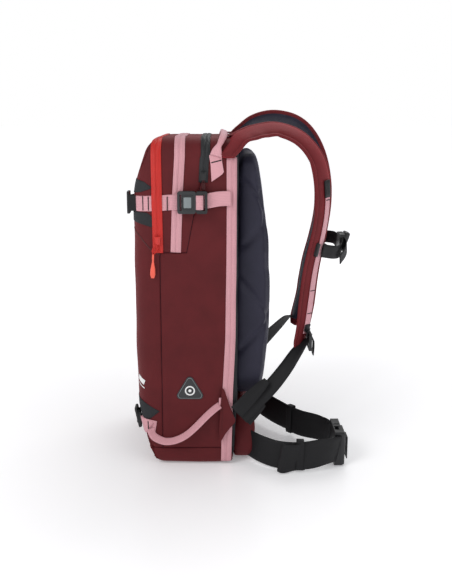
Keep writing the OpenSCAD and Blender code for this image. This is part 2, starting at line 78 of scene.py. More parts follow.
class Shader:
    """A small builder of node materials: every method adds one node and returns its output."""

    def __init__(self, name):
        self.material = bpy.data.materials.new(name)
        self.material.use_nodes = True
        self.tree = self.material.node_tree
        self.surface = self.tree.nodes["Principled BSDF"]

    def link(self, value, socket):
        if isinstance(value, (int, float, tuple, list)):
            socket.default_value = value
        else:
            self.tree.links.new(value, socket)

    def set(self, **inputs):
        for name, value in inputs.items():
            self.link(value, self.surface.inputs[name.replace("_", " ")])

    def place(self):
        return self.tree.nodes.new("ShaderNodeTexCoord").outputs["Object"]

    def along_strap(self):
        node = self.tree.nodes.new("ShaderNodeUVMap")
        node.uv_map = "strap"
        return node.outputs["UV"]

    def math(self, operation, a, b=0.0, c=0.0):
        node = self.tree.nodes.new("ShaderNodeMath")
        node.operation = operation
        for value, socket in zip((a, b, c), node.inputs):
            self.link(value, socket)
        return node.outputs[0]

    def split(self, vector):
        node = self.tree.nodes.new("ShaderNodeSeparateXYZ")
        self.link(vector, node.inputs[0])
        return node.outputs

    def noise(self, vector, scale, detail=3.0, roughness=0.55):
        node = self.tree.nodes.new("ShaderNodeTexNoise")
        self.link(vector, node.inputs["Vector"])
        node.inputs["Scale"].default_value = scale
        node.inputs["Detail"].default_value = detail
        node.inputs["Roughness"].default_value = roughness
        return node.outputs["Fac"]

    def wave(self, value, period):
        """A sine between 0 and 1 of a length, with that period."""
        turn = self.math("MULTIPLY", value, 2 * math.pi / period)
        return self.math("MULTIPLY_ADD", self.math("SINE", turn), 0.5, 0.5)

    def ramp(self, value, dark, light, start=0.0, end=1.0):
        node = self.tree.nodes.new("ShaderNodeValToRGB")
        self.link(value, node.inputs[0])
        node.color_ramp.elements[0].position = start
        node.color_ramp.elements[0].color = (*dark, 1)
        node.color_ramp.elements[1].position = end
        node.color_ramp.elements[1].color = (*light, 1)
        return node.outputs[0]

    def mix(self, factor, a, b, kind="MIX"):
        node = self.tree.nodes.new("ShaderNodeMix")
        node.data_type = "RGBA"
        node.blend_type = kind
        self.link(factor, node.inputs["Factor"])
        self.link(a, node.inputs[6])
        self.link(b, node.inputs[7])
        return node.outputs[2]

    def bump(self, height, distance, strength=1.0, under=None):
        node = self.tree.nodes.new("ShaderNodeBump")
        node.inputs["Distance"].default_value = distance
        node.inputs["Strength"].default_value = strength
        self.link(height, node.inputs["Height"])
        if under is not None:
            self.link(under, node.inputs["Normal"])
        return node.outputs[0]


def linear(red, green, blue):
    """A colour given in 0 to 255 display values, as linear light."""
    shares = [c / 255 for c in (red, green, blue)]
    return tuple(((c + 0.055) / 1.055) ** 2.4 if c > 0.04045 else c / 12.92 for c in shares)


def shade(colour, factor):
    return tuple(min(1.0, c * factor) for c in colour)


def woven(name, colour, thread=1.1 * MM, roughness=0.6, sheen=0.25, grain=0.12, wrinkle=0.5 * MM):
    """Coated plain-weave cloth: crossing threads, faint slubs, soft creases and a dusty sheen."""
    s = Shader(name)
    place = s.place()
    x, y, z = s.split(place)[:3]
    weft = s.wave(s.math("ADD", z, s.math("MULTIPLY", s.math("SUBTRACT", x, y), 0.25)), thread)
    warp = s.wave(s.math("ADD", x, y), thread)
    weave = s.math("MULTIPLY", weft, warp)
    slub = s.noise(place, 900.0, 2.0)
    cloud = s.noise(place, 22.0, 4.0)
    base = s.ramp(cloud, shade(colour, 1 - grain), shade(colour, 1 + grain), 0.3, 0.7)
    threads = s.ramp(weave, (0.80, 0.80, 0.80), (1.10, 1.08, 1.08))
    base = s.mix(0.8, base, threads, "MULTIPLY")
    base = s.mix(0.25, base, s.ramp(slub, (0.7, 0.7, 0.7), (1.3, 1.3, 1.3), 0.3, 0.7), "MULTIPLY")
    fold = s.bump(s.noise(place, 34.0, 3.0), wrinkle, 0.6)
    normal = s.bump(weave, 0.12 * MM, 0.7, fold)
    s.set(Base_Color=base, Normal=normal, Roughness=s.math("MULTIPLY_ADD", slub, 0.15, roughness - 0.07),
          Sheen_Weight=sheen, Sheen_Roughness=0.5, Sheen_Tint=(*shade(colour, 6), 1), Specular_IOR_Level=0.2)
    return s.material


def webbing(name, colour, rib=1.6 * MM, roughness=0.62, sheen=0.3):
    """Ribbed strap: slanting ribs that turn at the middle line, and tighter edges."""
    s = Shader(name)
    u, v = s.split(s.along_strap())[:2]
    slant = s.math("MULTIPLY", s.math("ABSOLUTE", v), 0.9)
    ribs = s.wave(s.math("ADD", u, slant), rib)
    cords = s.wave(v, 2.6 * MM)
    height = s.math("ADD", s.math("MULTIPLY", ribs, 0.6), s.math("MULTIPLY", cords, 0.4))
    fuzz = s.noise(s.place(), 700.0, 2.0)
    base = s.ramp(height, shade(colour, 0.78), shade(colour, 1.06), 0.1, 0.9)
    base = s.mix(0.3, base, s.ramp(fuzz, (0.8, 0.8, 0.8), (1.2, 1.2, 1.2), 0.3, 0.7), "MULTIPLY")
    fade = s.ramp(s.noise(s.place(), 30.0), (0.9, 0.9, 0.9), (1.08, 1.08, 1.08), 0.3, 0.7)
    base = s.mix(0.5, base, fade, "MULTIPLY")
    s.set(Base_Color=base, Normal=s.bump(height, 0.25 * MM, 0.7), Roughness=roughness, Specular_IOR_Level=0.3,
          Sheen_Weight=sheen, Sheen_Roughness=0.4, Sheen_Tint=(*shade(colour, 2.5), 1))
    return s.material


def moulded(name, colour, roughness=0.34, grain=0.05 * MM, edge_paling=0.5):
    """Moulded plastic: fine grain, faint scuffs, and a paler colour along its sharpest edges."""
    s = Shader(name)
    place = s.place()
    speckle = s.noise(place, 1400.0, 2.0)
    scuff = s.noise(place, 90.0, 6.0, 0.7)
    point = s.tree.nodes.new("ShaderNodeNewGeometry").outputs["Pointiness"]
    # Paler colour along the sharpest edges of the mesh
    edge = s.ramp(point, (0, 0, 0), (1, 1, 1), 0.52, 0.62)
    base = s.mix(s.math("MULTIPLY", edge, edge_paling), (*colour, 1), (*shade(colour, 2.2), 1))
    base = s.mix(0.3, base, s.ramp(scuff, (0.75, 0.75, 0.75), (1.2, 1.2, 1.2), 0.35, 0.7), "MULTIPLY")
    s.set(Base_Color=base, Normal=s.bump(speckle, grain, 0.6),
          Roughness=s.math("MULTIPLY_ADD", scuff, 0.25, roughness - 0.1), Specular_IOR_Level=0.5)
    return s.material


def brushed_alloy(name):
    """Bare metal with fine lines along it."""
    s = Shader(name)
    streak = s.noise(s.place(), 500.0, 4.0)
    lines = s.wave(s.split(s.place())[0], 0.7 * MM)
    s.set(Base_Color=s.ramp(streak, (0.5, 0.51, 0.53), (0.72, 0.73, 0.75), 0.3, 0.7), Metallic=1.0,
          Roughness=0.36, Normal=s.bump(lines, 0.03 * MM, 0.5))
    return s.material


def foam(name, colour):
    """Closed-cell foam: small pits all over."""
    s = Shader(name)
    cells = s.tree.nodes.new("ShaderNodeTexVoronoi")
    s.link(s.place(), cells.inputs["Vector"])
    cells.inputs["Scale"].default_value = 420.0
    pits = cells.outputs["Distance"]
    s.set(Base_Color=s.ramp(pits, shade(colour, 0.7), shade(colour, 1.2), 0.1, 0.7), Roughness=0.85,
          Normal=s.bump(pits, 0.3 * MM, 0.6))
    return s.material


MAROON = linear(91, 26, 30)
PINK = linear(217, 160, 168)
RED = linear(200, 42, 35)
CORAL = linear(240, 96, 76)
CHARCOAL = linear(50, 52, 55)
NAVY = linear(46, 45, 60)
BLACK = linear(20, 20, 23)

maroon_cloth = woven("maroon_cloth", MAROON)
strap_cloth = woven("strap_cloth", shade(MAROON, 1.35), 0.9 * MM, 0.66, 0.4)
fin_cloth = woven("fin_cloth", shade(MAROON, 0.95))
charcoal_cloth = woven("charcoal_cloth", shade(CHARCOAL, 0.85), 0.8 * MM, 0.7, 0.1)
navy_cloth = woven("navy_cloth", NAVY, 0.7 * MM, 0.5, 0.2, 0.1)
lining_cloth = woven("lining_cloth", shade(NAVY, 0.7), 0.7 * MM, 0.6, 0.1)
pink_webbing = webbing("pink_webbing", PINK)
black_webbing = webbing("black_webbing", BLACK, 2.0 * MM, 0.6, 0.12)
pink_tape = webbing("pink_tape", shade(PINK, 0.96), 1.0 * MM, 0.6, 0.2)
red_tape = webbing("red_tape", RED, 0.9 * MM, 0.42, 0.1)
charcoal_tape = webbing("charcoal_tape", shade(CHARCOAL, 0.6), 0.9 * MM, 0.5, 0.1)
maroon_cord = webbing("maroon_cord", shade(MAROON, 0.5), 1.2 * MM)
red_cord = webbing("red_cord", RED, 1.2 * MM)
black_plastic = moulded("black_plastic", BLACK)
slate_plastic = moulded("slate_plastic", shade(CHARCOAL, 0.62), 0.4)
grey_plastic = moulded("grey_plastic", linear(120, 128, 130), 0.4)
coral_rubber = moulded("coral_rubber", CORAL, 0.5, 0.04 * MM, 0.1)
red_plastic = moulded("red_plastic", RED, 0.35, 0.03 * MM, 0.2)
white_print = moulded("white_print", linear(235, 236, 236), 0.5, 0.02 * MM, 0.0)
sheet_plastic = moulded("sheet_plastic", shade(BLACK, 1.4), 0.5)
stay_alloy = brushed_alloy("stay_alloy")
pad_foam = foam("pad_foam", linear(70, 70, 76))
black_thread = moulded("black_thread", shade(BLACK, 0.8), 0.7, 0.02 * MM, 0.0)
maroon_thread = moulded("maroon_thread", shade(MAROON, 0.6), 0.7, 0.02 * MM, 0.0)
pink_thread = moulded("pink_thread", shade(PINK, 0.75), 0.7, 0.02 * MM, 0.0)

# ---------------------------------------------------------------- making pieces


def finish_piece(obj, materials, body=None, stands_for=()):
    """Gives a piece its materials, the body it rides on and the CAD nodes it stands for."""
    for material in materials if isinstance(materials, (list, tuple)) else [materials]:
        obj.data.materials.append(material)
    if stands_for:
        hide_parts(*stands_for)
    if body:
        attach(obj, body)
    return obj


def new_object(name, mesh, smooth=True):
    for polygon in mesh.polygons:
        polygon.use_smooth = smooth
    obj = bpy.data.objects.new(name, mesh)
    bpy.context.scene.collection.objects.link(obj)
    return obj


def mesh_of(name, points, faces):
    mesh = bpy.data.meshes.new(name)
    mesh.from_pydata([tuple(p) for p in points], [], [tuple(int(i) for i in f) for f in faces])
    mesh.validate()
    mesh.update()
    return mesh


def add_modifier(obj, kind, **settings):
    modifier = obj.modifiers.new(kind.lower(), kind)
    for name, value in settings.items():
        setattr(modifier, name, value)
    return modifier


def apply_modifiers(obj):
    """Freezes every modifier into the mesh."""
    depsgraph = bpy.context.evaluated_depsgraph_get()
    frozen = bpy.data.meshes.new_from_object(obj.evaluated_get(depsgraph))
    obj.modifiers.clear()
    obj.data = frozen
    return obj


def positions(vertices):
    return np.array([v.co for v in vertices])


def move_vertices(vertices, points):
    for vertex, point in zip(vertices, points):
        vertex.co = point


def cut_by_plane(work, point, normal, **options):
    bmesh.ops.bisect_plane(work, geom=work.verts[:] + work.edges[:] + work.faces[:],
                           plane_co=point, plane_no=normal, dist=1e-6, **options)


def unit(vectors):
    return vectors / np.maximum(np.linalg.norm(vectors, axis=-1, keepdims=True), 1e-9)


def arc_lengths(path):
    return np.concatenate([[0], np.cumsum(np.linalg.norm(np.diff(path, axis=0), axis=1))])


def sampled(table, index, at):
    """The rows of a table at other values of its index, with straight runs between the rows it has."""
    return np.stack([np.interp(at, index, table[:, k]) for k in range(table.shape[1])], axis=1)


def smooth_path(points, step=4 * MM):
    """A Catmull-Rom curve through the points, resampled to even steps."""
    p = np.array(points, float)
    p = np.vstack([2 * p[0] - p[1], p, 2 * p[-1] - p[-2]])
    dense = []
    for i in range(1, len(p) - 2):
        t = np.linspace(0, 1, 24, endpoint=False)[:, None]
        a, b, c, d = p[i - 1:i + 3]
        square, cube = 2 * a - 5 * b + 4 * c - d, 3 * b - a - 3 * c + d
        dense.append(0.5 * (2 * b + (c - a) * t + square * t ** 2 + cube * t ** 3))
    dense = np.vstack(dense + [p[-2:-1]])
    length = arc_lengths(dense)
    return sampled(dense, length, np.linspace(0, length[-1], max(3, int(length[-1] / step) + 1)))


def tangents(path):
    return unit(np.gradient(path, axis=0))


def flat_section(width, thickness, rows=4, edge=0.4):
    """Cross-section of a flat strap, as (across, up) pairs all the way round, with softened edges."""
    half = width / 2
    soft = min(thickness * edge, half / 2)
    across = np.linspace(-half + soft, half - soft, rows + 1)
    top = [(a, thickness / 2) for a in across]
    under = [(a, -thickness / 2) for a in across[::-1]]
    return top + [(half, thickness / 2 - soft), (half, soft - thickness / 2)] + under + [
        (-half, soft - thickness / 2), (-half, thickness / 2 - soft)]


def sweep(name, path, up, section, fit=None, rolls=None):
    """Carries a closed cross-section along a path, with up as each step's normal.

    rolls turn the section about the path, and fit moves the finished points, given their heights."""
    path = np.asarray(path, float)
    along = tangents(path)
    up = np.broadcast_to(np.asarray(up, float), path.shape)
    across = unit(np.cross(along, up))
    up = unit(np.cross(across, along))
    if rolls is not None:
        turn = np.asarray(rolls)[:, None]
        across, up = across * np.cos(turn) + up * np.sin(turn), up * np.cos(turn) - across * np.sin(turn)
    sections = section if callable(section) else (lambda share: section)
    n = len(path)
    rings = [np.array(sections(i / (n - 1)), float) for i in range(n)]
    m = len(rings[0])
    points = np.vstack([path[i] + np.outer(rings[i][:, 0], across[i]) + np.outer(rings[i][:, 1], up[i])
                        for i in range(n)])
    if fit is not None:
        points = fit(points, np.tile([r[1] for r in rings[0]], n))
    faces = [(i * m + j, i * m + (j + 1) % m, (i + 1) * m + (j + 1) % m, (i + 1) * m + j)
             for i in range(n - 1) for j in range(m)]
    faces += [tuple(range(m - 1, -1, -1)), tuple(range((n - 1) * m, n * m))]
    mesh = mesh_of(name, points, faces)
    length = arc_lengths(path)
    layer = mesh.uv_layers.new(name="strap")
    for polygon in mesh.polygons:
        for loop, vertex in zip(polygon.loop_indices, polygon.vertices):
            layer.data[loop].uv = (length[vertex // m], rings[vertex // m][vertex % m][0])
    return new_object(name, mesh)


def joined(name, pieces):
    """One object made of several."""
    depsgraph = bpy.context.evaluated_depsgraph_get()
    for piece in pieces:
        piece.data = bpy.data.meshes.new_from_object(piece.evaluated_get(depsgraph))
        piece.modifiers.clear()
        piece.data.transform(piece.matrix_world)
        piece.matrix_world = Matrix.Identity(4)
    with bpy.context.temp_override(active_object=pieces[0], selected_editable_objects=pieces):
        bpy.ops.object.join()
    pieces[0].name = name
    return pieces[0]


def both_sides(name, maker):
    """One object of a piece made on the right side and again on the left."""
    return joined(name, [maker(1), maker(-1)])


def axes(origin, x, y):
    """A placing matrix from an origin and two directions."""
    x = Vector(x).normalized()
    z = x.cross(Vector(y)).normalized()
    y = z.cross(x)
    return Matrix.Translation(Vector(origin)) @ Matrix((x, y, z)).transposed().to_4x4()


def outline_arc(cx, cy, r, a0, a1, n=8):
    return [(cx + r * math.cos(math.radians(a0 + (a1 - a0) * k / n)),
             cy + r * math.sin(math.radians(a0 + (a1 - a0) * k / n))) for k in range(n + 1)]


def rounded_outline(x0, y0, x1, y1, r, n=5):
    return (outline_arc(x1 - r, y0 + r, r, -90, 0, n) + outline_arc(x1 - r, y1 - r, r, 0, 90, n)
            + outline_arc(x0 + r, y1 - r, r, 90, 180, n) + outline_arc(x0 + r, y0 + r, r, 180, 270, n))


def centred_outline(half_x, half_y, r):
    return rounded_outline(-half_x, -half_y, half_x, half_y, r)


def moulding(name, outlines, thickness, bevel, place=None):
    """A moulded plate: the first outline filled, the others cut out of it, with rounded edges."""
    curve = bpy.data.curves.new(name, "CURVE")
    curve.dimensions = "2D"
    curve.fill_mode = "BOTH"
    curve.extrude = thickness / 2 - bevel
    curve.bevel_depth = bevel
    curve.bevel_resolution = 2
    curve.offset = -bevel
    for outline in outlines:
        spline = curve.splines.new("POLY")
        spline.points.add(len(outline) - 1)
        for point, (x, y) in zip(spline.points, outline):
            point.co = (x, y, 0, 1)
        spline.use_cyclic_u = True
    obj = bpy.data.objects.new(name, curve)
    bpy.context.scene.collection.objects.link(obj)
    depsgraph = bpy.context.evaluated_depsgraph_get()
    mesh = bpy.data.meshes.new_from_object(obj.evaluated_get(depsgraph))
    bpy.data.objects.remove(obj)
    if place is not None:
        mesh.transform(place)
    shaped = new_object(name, mesh, smooth=False)
    with_edges(shaped)
    return shaped


def with_edges(obj, angle=35):
    """Welds a mesh and keeps its corners crisp while its rounds shade smoothly."""
    work = bmesh.new()
    work.from_mesh(obj.data)
    bmesh.ops.remove_doubles(work, verts=work.verts, dist=0.01 * MM)
    bmesh.ops.recalc_face_normals(work, faces=work.faces)
    for edge in work.edges:
        edge.smooth = not (edge.is_manifold and edge.calc_face_angle() > math.radians(angle))
    for face in work.faces:
        face.smooth = True
    work.to_mesh(obj.data)
    work.free()
    return obj


# ---------------------------------------------------------------- the bag's form

HALF_W = high("side_panel_right").x
TOP = high("top_panel").z
FRONT = low("front_panel").y
BACK = high("back_wall").y

# Corner circles (a, b, radius) of the bag seen from the side, the front and above
SIDE_CORNERS = [(BACK - 0.020, 0.012, 0.012), (BACK - 0.018, TOP - 0.018, 0.018),
                (-0.030, TOP - 0.036, 0.036), (FRONT + 0.050, TOP - 0.106, 0.050),
                (FRONT + 0.036, 0.110, 0.032), (-0.036, 0.024, 0.024)]
FRONT_CORNERS = [(s * a, b, r) for s in (-1, 1) for a, b, r in (
    (HALF_W - 0.018, 0.018, 0.018), (HALF_W - 0.045, 0.120, 0.045), (HALF_W - 0.040, TOP - 0.040, 0.040))]
PLAN_CORNERS = [(s * a, b, r) for s in (-1, 1) for a, b, r in (
    (HALF_W - 0.042, FRONT + 0.042, 0.042), (HALF_W - 0.012, BACK - 0.012, 0.012))]


def outline_distance(a, b, circles, directions=96):
    """Signed distance from the rounded outline that wraps the circles, negative inside."""
    turn = np.linspace(0, 2 * math.pi, directions, endpoint=False)
    normals = np.stack([np.cos(turn), np.sin(turn)])
    centres = np.array(circles)
    support = (centres[:, :2] @ normals + centres[:, 2:]).max(0)
    return (np.stack([a, b], 1) @ normals - support).max(1)


def bump_at(value, centre, half):
    """1 at the centre, falling smoothly to 0 at half away from it."""
    return np.clip(1 - ((value - centre) / half) ** 2, 0, 1) ** 2


def bag_distance(p):
    """Signed distance from the bag's soft surface: rounded outlines, filled panels and gentle sags."""
    x, y, z = p.T
    parts = np.stack([outline_distance(y, z, SIDE_CORNERS), outline_distance(x, z, FRONT_CORNERS),
                      outline_distance(x, y, PLAN_CORNERS)])
    soft = 3.5 * MM
    peak = parts.max(0)
    distance = peak + soft * np.log(np.exp((parts - peak) / soft).sum(0)) - 0.3 * soft
    on_side = np.clip((np.abs(x) / HALF_W - 0.75) * 4, 0, 1)
    on_front = np.clip((-y / abs(FRONT) - 0.55) * 3, 0, 1)
    # Fullness of the sides below and above the upper straps, and of the front
    fill = 2.4 * MM * on_side * bump_at(z, 0.20, 0.19) * bump_at(y, 0.012, 0.075)
    fill += 1.2 * MM * on_side * bump_at(z, 0.47, 0.10) * bump_at(y, -0.02, 0.06)
    fill += 5.0 * MM * on_front * bump_at(x, 0, 0.12) * bump_at(z, 0.26, 0.26)
    # Slow waves that cross each other, for the cloth's soft folds
    ripple = 0.5 * np.sin(31 * y + 47 * z + 4 * x) + 0.35 * np.sin(83 * z - 36 * y + 55 * x + 1.3)
    ripple += 0.3 * np.sin(61 * x + 24 * z + 0.7) * np.sin(52 * y - 40 * z)
    return distance - fill - 0.7 * MM * ripple


def slope(p):
    """The direction in which the distance from the bag grows, at each point."""
    step = 0.5 * MM
    shifts = np.eye(3) * step
    return np.stack([(bag_distance(p + s) - bag_distance(p - s)) / (2 * step) for s in shifts], 1)


def onto_bag(p, offset=0.0, rounds=4):
    """Moves points onto the bag's surface, or to a height above it."""
    p = np.array(p, float)
    for _ in range(rounds):
        g = slope(p)
        p -= g * ((bag_distance(p) - offset) / np.maximum((g * g).sum(1), 1e-6))[:, None]
    return p


# ---------------------------------------------------------------- fabric panels

FRONT_SEAM = -0.042
BACK_SEAM = high("side_panel_right").y
BOOT = high("bottom_panel").z
GUSSET_FOOT = low("gusset_panel").z
TOP_SEAM_X = high("top_panel").x
TOP_PANEL_Z = TOP - 0.042
# The seam behind the gusset, in side view, from its lower corner up over the top
GUSSET_SEAM = [(0.002, GUSSET_FOOT), (0.014, 0.436), (0.030, 0.508), (0.033, TOP + 0.02)]


def behind_gusset(y, z):
    """How far a point lies behind the gusset's slanting seam."""
    seam_z = [p[1] for p in GUSSET_SEAM]
    seam_y = [p[0] for p in GUSSET_SEAM]
    return y - np.interp(z, seam_z, seam_y)


def boxed_grid(cell=5 * MM):
    """The six sides of a box just round the bag, as one welded grid."""
    lo = np.array([-HALF_W - 0.004, FRONT - 0.004, -0.002])
    hi = np.array([HALF_W + 0.004, BACK + 0.002, TOP + 0.002])
    work = bmesh.new()
    for axis in range(3):
        a, b = [k for k in range(3) if k != axis]
        na, nb = (int(round((hi[k] - lo[k]) / cell)) for k in (a, b))
        for end in (lo, hi):
            grid = []
            for i in range(na + 1):
                for j in range(nb + 1):
                    point = np.zeros(3)
                    point[axis] = end[axis]
                    point[a] = lo[a] + (hi[a] - lo[a]) * i / na
                    point[b] = lo[b] + (hi[b] - lo[b]) * j / nb
                    grid.append(work.verts.new(point))
            for i in range(na):
                for j in range(nb):
                    corner = i * (nb + 1) + j
                    above = corner + nb + 1
                    work.faces.new([grid[corner], grid[corner + 1], grid[above + 1], grid[above]])
    bmesh.ops.remove_doubles(work, verts=work.verts, dist=0.1 * MM)
    bmesh.ops.recalc_face_normals(work, faces=work.faces)
    return work


SEAM_GAP = 0.45 * MM
VALLEY_HALF = 3.0 * MM


def cut_along(work, point, normal):
    """Cuts the whole mesh by two planes on each side of a seam, which shape the seam's valley."""
    normal = Vector(normal).normalized()
    for beside in (-VALLEY_HALF, -SEAM_GAP, SEAM_GAP, VALLEY_HALF):
        cut_by_plane(work, Vector(point) + normal * beside, normal)


def make_bag_form():
    """The whole soft surface of the bag as one mesh, from which the panels and patches are cut."""
    work = boxed_grid()
    move_vertices(work.verts, onto_bag(positions(work.verts)))
    mesh = bpy.data.meshes.new("bag_form")
    work.to_mesh(mesh)
    work.free()
    return mesh


bag_form = make_bag_form()


def bag_surface():
    """The bag's form, cut along every seam."""
    work = bmesh.new()
    work.from_mesh(bag_form)
    cut_along(work, (0, FRONT_SEAM, 0), (0, 1, 0))
    cut_along(work, (0, BACK_SEAM, 0), (0, 1, 0))
    cut_along(work, (0, 0, BOOT), (0, 0, 1))
    cut_along(work, (0, 0, GUSSET_FOOT), (0, 0, 1))
    for (y0, z0), (y1, z1) in zip(GUSSET_SEAM, GUSSET_SEAM[1:]):
        cut_along(work, (0, y0, z0), (0, z1 - z0, y0 - y1))
    for side in (-1, 1):
        cut_along(work, (side * TOP_SEAM_X, 0, 0), (1, 0, 0))
    return work


def panel_of(x, y, z):
    """Which fabric panel a point of the surface belongs to, and how far it is from that panel's edge."""
    gusset = min(z - GUSSET_FOOT, -behind_gusset(y, z))
    if z < BOOT:
        if y < BACK_SEAM:
            return "bottom_panel", min(BOOT - z, BACK_SEAM - y)
        return "back_wall", y - BACK_SEAM
    if y > BACK_SEAM:
        return "back_wall", y - BACK_SEAM
    if y < FRONT_SEAM:
        return "front_panel", min(FRONT_SEAM - y, z - BOOT)
    if gusset > 0:
        return "gusset_panel", min(gusset, y - FRONT_SEAM)
    edge = min(-gusset, BACK_SEAM - y, z - BOOT, y - FRONT_SEAM)
    if z > TOP_PANEL_Z and abs(x) < TOP_SEAM_X:
        return "top_panel", min(edge, TOP_SEAM_X - abs(x))
    if z > TOP_PANEL_Z:
        edge = min(edge, abs(x) - TOP_SEAM_X)
    return "side_panel_" + ("right" if x > 0 else "left"), edge


def seam_valley(edge):
    return 1.1 * MM * math.exp(-(edge / (2.6 * MM)) ** 2)


def make_panels():
    surface = bag_surface()
    surface.normal_update()
    groups = {}
    for face in surface.faces:
        panel, edge = panel_of(*face.calc_center_median())
        if edge > SEAM_GAP * 0.98:
            groups.setdefault(panel, []).append(face)
    made = {}
    for panel, faces in groups.items():
        index, points = {}, []
        for face in faces:
            for vertex in face.verts:
                if vertex.index not in index:
                    index[vertex.index] = len(points)
                    inside = vertex.co + (face.calc_center_median() - vertex.co) * 0.02
                    edge = max(0.0, panel_of(*inside)[1])
                    points.append(vertex.co - vertex.normal * seam_valley(edge))
        mesh = mesh_of(panel, points, [[index[v.index] for v in face.verts] for face in faces])
        obj = new_object(panel + "_cloth", mesh)
        add_modifier(obj, "SOLIDIFY", thickness=1.6 * MM, offset=-1.0)
        cloth = charcoal_cloth if panel == "back_wall" else maroon_cloth
        made[panel] = finish_piece(obj, cloth, "pack", [panel])
    surface.free()
    return made


panels = make_panels()


def inner_lining():
    """The bag's lining, a little inside the panels, seen only in the seams."""
    mesh = bag_form.copy()
    move_vertices(mesh.vertices, onto_bag(positions(mesh.vertices), -2.6 * MM))
    return finish_piece(new_object("inner_lining", mesh), lining_cloth, "pack")


inner_lining()

# ---------------------------------------------------------------- strips that lie on the bag


def on_bag_path(points, step=4 * MM):
    """A path over the bag through a few points near its surface, as even steps on the surface."""
    dense = np.array(points, float)
    share = np.linspace(0, 1, 12, endpoint=False)[:, None]
    dense = np.vstack([a + (b - a) * share for a, b in zip(dense, dense[1:])] + [dense[-1:]])
    dense = onto_bag(dense)
    length = arc_lengths(dense)
    return onto_bag(sampled(dense, length, np.linspace(0, length[-1], max(4, int(length[-1] / step) + 1))))


def laid(name, points, section, lift=0.0):
    """A strip laid on the bag along a path; lift is its height over the cloth, or a rule that gives it."""
    path = on_bag_path(points)

    def fit(p, heights):
        raised = lift(p) if callable(lift) else lift
        return onto_bag(p, heights + raised)

    return sweep(name, path, unit(slope(path)), section, fit=fit)


def zip_section(width, thick=1.7 * MM):
    """Two tapes that meet in a groove, each a little rounded and stitched down along its outer edge."""
    half = width / 2
    right = [(0.12 * half, 0.9 * thick), (0.45 * half, thick), (0.72 * half, 0.82 * thick),
             (0.80 * half, 0.66 * thick), (0.88 * half, 0.78 * thick), (0.97 * half, 0.7 * thick),
             (half, 0.35 * thick), (half, -0.6 * MM)]
    left = [(-a, b) for a, b in right[::-1]]
    groove = [(-0.03 * half, 0.45 * thick), (0.03 * half, 0.45 * thick)]
    return left + groove + right


def side_run(y_low, z_low, y_high, bend=0.0):
    """Points up the right side from a low point, over the top and down the left side to the same height."""
    up = [(HALF_W, y_low, z_low), (HALF_W, (y_low + y_high) / 2 + bend, (z_low + TOP) / 2),
          (HALF_W, y_high, TOP - 0.03), (HALF_W - 0.004, y_high, TOP - 0.004),
          (HALF_W - 0.03, y_high, TOP), (0, y_high, TOP)]
    return up + [(-x, y, z) for x, y, z in up[-2::-1]]


def seam_line(name, points, thick=1.1 * MM):
    """A narrow ridge where two panels are joined inside, laid on the bag."""
    section = flat_section(2.2 * MM, thick, rows=2)
    return laid(name, points, section, 0.1 * MM)


def tuck(side):
    """The slanting seam from the front face down to the gusset's foot."""
    return seam_line("tuck", [(side * 0.104, FRONT, 0.414), (side * 0.122, FRONT + 0.012, 0.402),
                              (side * HALF_W, -0.058, 0.381), (side * HALF_W, FRONT_SEAM, 0.372)])


finish_piece(both_sides("tuck_seams", tuck), maroon_thread, "pack")

TOOL_ZIP_Y = middle("tool_pocket_zip").y
ZIP_W = 17 * MM
UPPER_STRAP_Z = middle("upper_front_webbing").z
STRAP_HALF = 12.5 * MM


def near_upper_strap(p):
    """Rise over the upper webbing, for whatever crosses on top of it."""
    away = (np.abs(p[:, 2] - UPPER_STRAP_Z) - STRAP_HALF) / (4 * MM)
    return 0.2 * MM + 1.7 * MM * (0.5 - 0.5 * np.tanh(away))


tool_zip = laid("tool_zip_tape", side_run(TOOL_ZIP_Y, GUSSET_FOOT, TOOL_ZIP_Y - 0.001), zip_section(ZIP_W),
                near_upper_strap)
finish_piece(tool_zip, red_tape, "pack", ["tool_pocket_zip"])

main_zip = laid("main_zip_tape", side_run(-0.016, GUSSET_FOOT + 1 * MM, -0.008), zip_section(ZIP_W), 0.1 * MM)
finish_piece(main_zip, pink_tape, "pack", ["main_zip"])

goggle_zip = laid("goggle_zip_tape", side_run(0.0295, low("goggle_pocket_zip").z, 0.0335),
                  zip_section(15 * MM), 0.1 * MM)
finish_piece(goggle_zip, charcoal_tape, "pack", ["goggle_pocket_zip"])


def back_zip(side):
    points = [(0.0675, low("back_access_zip").z), (0.0700, 0.137), (0.0745, 0.226), (0.0762, 0.363),
              (0.0765, 0.440), (0.0762, high("back_access_zip").z)]
    return laid("back_zip", [(side * HALF_W, y, z) for y, z in points], zip_section(18 * MM), 0.1 * MM)


finish_piece(both_sides("back_zip_tapes", back_zip), pink_tape, "pack", ["back_access_zip"])

# ---------------------------------------------------------------- upper compression straps


def raised_over(y, half, rise):
    """A rule that lifts a strip where it crosses something at that place along Y."""
    return lambda p: 0.3 * MM + rise * (0.5 - 0.5 * np.tanh((np.abs(p[:, 1] - y) - half) / (2.5 * MM)))


WEB = flat_section(25 * MM, 1.6 * MM)


def bartack(place, along, up, length, width=1.5 * MM, thick=0.7 * MM):
    """A short dense row of stitches across a strap."""
    middle_point, reach = Vector(place), Vector(along) * length / 2
    path = [middle_point - reach, middle_point, middle_point + reach]
    return sweep("bartack", path, up, flat_section(width, thick, rows=2))


def tack_on_bag(y, z, side, length, height, tilt=0.0):
    """A bartack across side webbing, at a height over the cloth."""
    along = np.array([0, math.sin(tilt), math.cos(tilt)])
    spot = np.array([side * (HALF_W - 2 * MM), y, z])
    ends = onto_bag(np.array([spot + along * length * k for k in (-0.5, -0.25, 0, 0.25, 0.5)]), height)
    return sweep("bartack", ends, unit(slope(ends)), flat_section(1.6 * MM, 0.8 * MM, rows=2))


